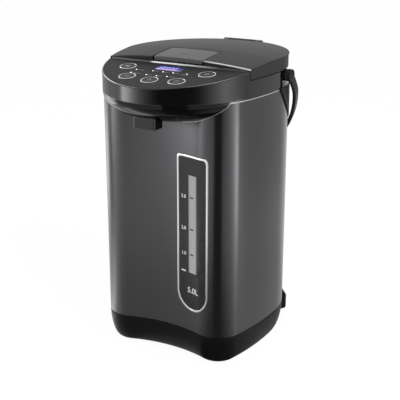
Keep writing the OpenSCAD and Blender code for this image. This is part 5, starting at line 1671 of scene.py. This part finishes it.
def cards():
    """The cards that the pot mirrors. Each stop is a bearing in degrees and a glow."""
    reflector("dark_card", 1.9, 0.004, 1.7, ((-79, 0.08), (-47, 0.08)), near=0.16)
    reflector("low_left", 0.6, 0.0, 0.183, ((158, 0.6), (170, 3.2), (188, 3.4), (196, 0.8), (214, 0.7)))
    reflector("low_right", 0.6, 0.0, 0.183, (
        (-46, 0.6), (-24, 1.0), (-12, 1.3), (0, 3.2), (8, 7.2), (16, 5.4), (24, 0.7), (45, 0.6), (66, 0.7),
        (80, 0.9)))
    reflector("collar_band", 0.6, 0.186, 0.34, (
        (-172, 0.8), (-150, 1.2), (-143, 6.0), (-134, 5.5), (-124, 3.0), (-115, 1.5), (-102, 0.6),
        (-86, 0.05), (-40, 0.05), (-30, 0.5), (-15, 1.7), (-5, 2.6), (6, 1.5), (22, 0.8), (60, 0.65),
        (100, 0.6), (150, 0.45), (188, 0.7)))
    reflector("high_left", 1.2, 0.68, 2.0, ((148, 2), (156, 8), (182, 8), (190, 2)))
    reflector("floor_shade", 0.42, 0.004, 0.0045, (
        (-170, 1.2), (-150, 3.0), (-138, 1.2), (-122, 0.5), (-95, 0.45), (-81, 0.1), (-42, 0.1), (-20, 0.5),
        (0, 0.75), (70, 0.75)), near=0.09)
    overhead = ((0.0, -0.2, 1.5), (0.7, -0.2, 1.5), (0.7, 0.5, 1.5), (0.0, 0.5, 1.5))
    glow_card("border_card", overhead, [(0, 1, 2, 3)], [8.0] * 4)


def room(scene, strength):
    """The room's even light, which still looks white wherever it is seen."""
    world = bpy.data.worlds.new("room")
    scene.world = world
    world.use_nodes = True
    wire = Wiring(world.node_tree)
    level = wire.span(seen_share(wire, 1.0), out_low=strength)
    wire.give(world.node_tree.nodes["Background"], {"Color": (1, 1, 1, 1), "Strength": level})


def area_light(name, spot, size, watts):
    """A square lamp aimed at the pot, which neither the camera nor mirrors see."""
    data = bpy.data.lights.new(name, "AREA")
    data.shape = "RECTANGLE"
    data.size = data.size_y = size
    data.energy = watts
    item = bpy.data.objects.new(name, data)
    item.location = spot
    item.rotation_euler = (Vector((0, 0, 0.17)) - item.location).to_track_quat("-Z", "Y").to_euler()
    item.visible_camera = False
    item.visible_glossy = False
    bpy.context.scene.collection.objects.link(item)


def camera(scene):
    """The view from a little above and to the right of the front."""
    data = bpy.data.cameras.new("view")
    data.sensor_width = 36
    data.lens = 81.76
    data.shift_x = 0.0012
    data.shift_y = -0.0149
    data.clip_end = 20
    item = bpy.data.objects.new("view", data)
    scene.collection.objects.link(item)
    item.location = (0.5274, -0.9116 + SHIFT_Y, 0.52335)
    target = Vector((0, SHIFT_Y, 0.1776))
    item.rotation_euler = (target - item.location).to_track_quat("-Z", "Y").to_euler()
    scene.camera = item


class THERMO_OT_stage(bpy.types.Operator):
    """Add the floor, the mirrored cards, the room's light, the lamps and the camera"""

    bl_idname = "thermo.stage"
    bl_label = "Stage"

    def execute(self, context):
        scene = context.scene
        scene.view_settings.view_transform = "Standard"
        settings = scene.thermo_stage
        white_floor()
        cards()
        room(scene, settings.world)
        area_light("left_lamp", (-1.2, -0.9, 1.1), 0.9, settings.left_power)
        area_light("right_lamp", (1.3, -0.5, 1.1), 0.9, settings.right_power)
        area_light("top_lamp", (0.0, 0.1, 1.8), 1.2, settings.top_power)
        camera(scene)
        return {"FINISHED"}


# ------------------------------------------------------------------ panel and registration

BUILDERS = (
    THERMO_OT_jacket, THERMO_OT_base, THERMO_OT_chin, THERMO_OT_spout, THERMO_OT_collar, THERMO_OT_gauge,
    THERMO_OT_panel, THERMO_OT_lid, THERMO_OT_latch, THERMO_OT_handle, THERMO_OT_inside, THERMO_OT_stage,
)


class THERMO_PT_build(bpy.types.Panel):
    bl_label = "Thermo Pot"
    bl_idname = "THERMO_PT_build"
    bl_space_type = "VIEW_3D"
    bl_region_type = "UI"
    bl_category = "Thermo Pot"

    def draw(self, context):
        layout = self.layout
        for group in (context.scene.thermo_colours, context.scene.thermo_sizes, context.scene.thermo_stage):
            box = layout.box()
            for key in group.__annotations__:
                box.prop(group, key)
        for builder in BUILDERS:
            layout.operator(builder.bl_idname)


CLASSES = (ThermoColours, ThermoSizes, ThermoStage, *BUILDERS, THERMO_PT_build)


def register():
    for item in CLASSES:
        bpy.utils.register_class(item)
    bpy.types.Scene.thermo_colours = PointerProperty(type=ThermoColours)
    bpy.types.Scene.thermo_sizes = PointerProperty(type=ThermoSizes)
    bpy.types.Scene.thermo_stage = PointerProperty(type=ThermoStage)


def unregister():
    del bpy.types.Scene.thermo_stage
    del bpy.types.Scene.thermo_sizes
    del bpy.types.Scene.thermo_colours
    for item in reversed(CLASSES):
        bpy.utils.unregister_class(item)


def main():
    register()
    for builder in BUILDERS:
        group, name = builder.bl_idname.split(".")
        getattr(getattr(bpy.ops, group), name)()


if __name__ == "__main__":
    main()
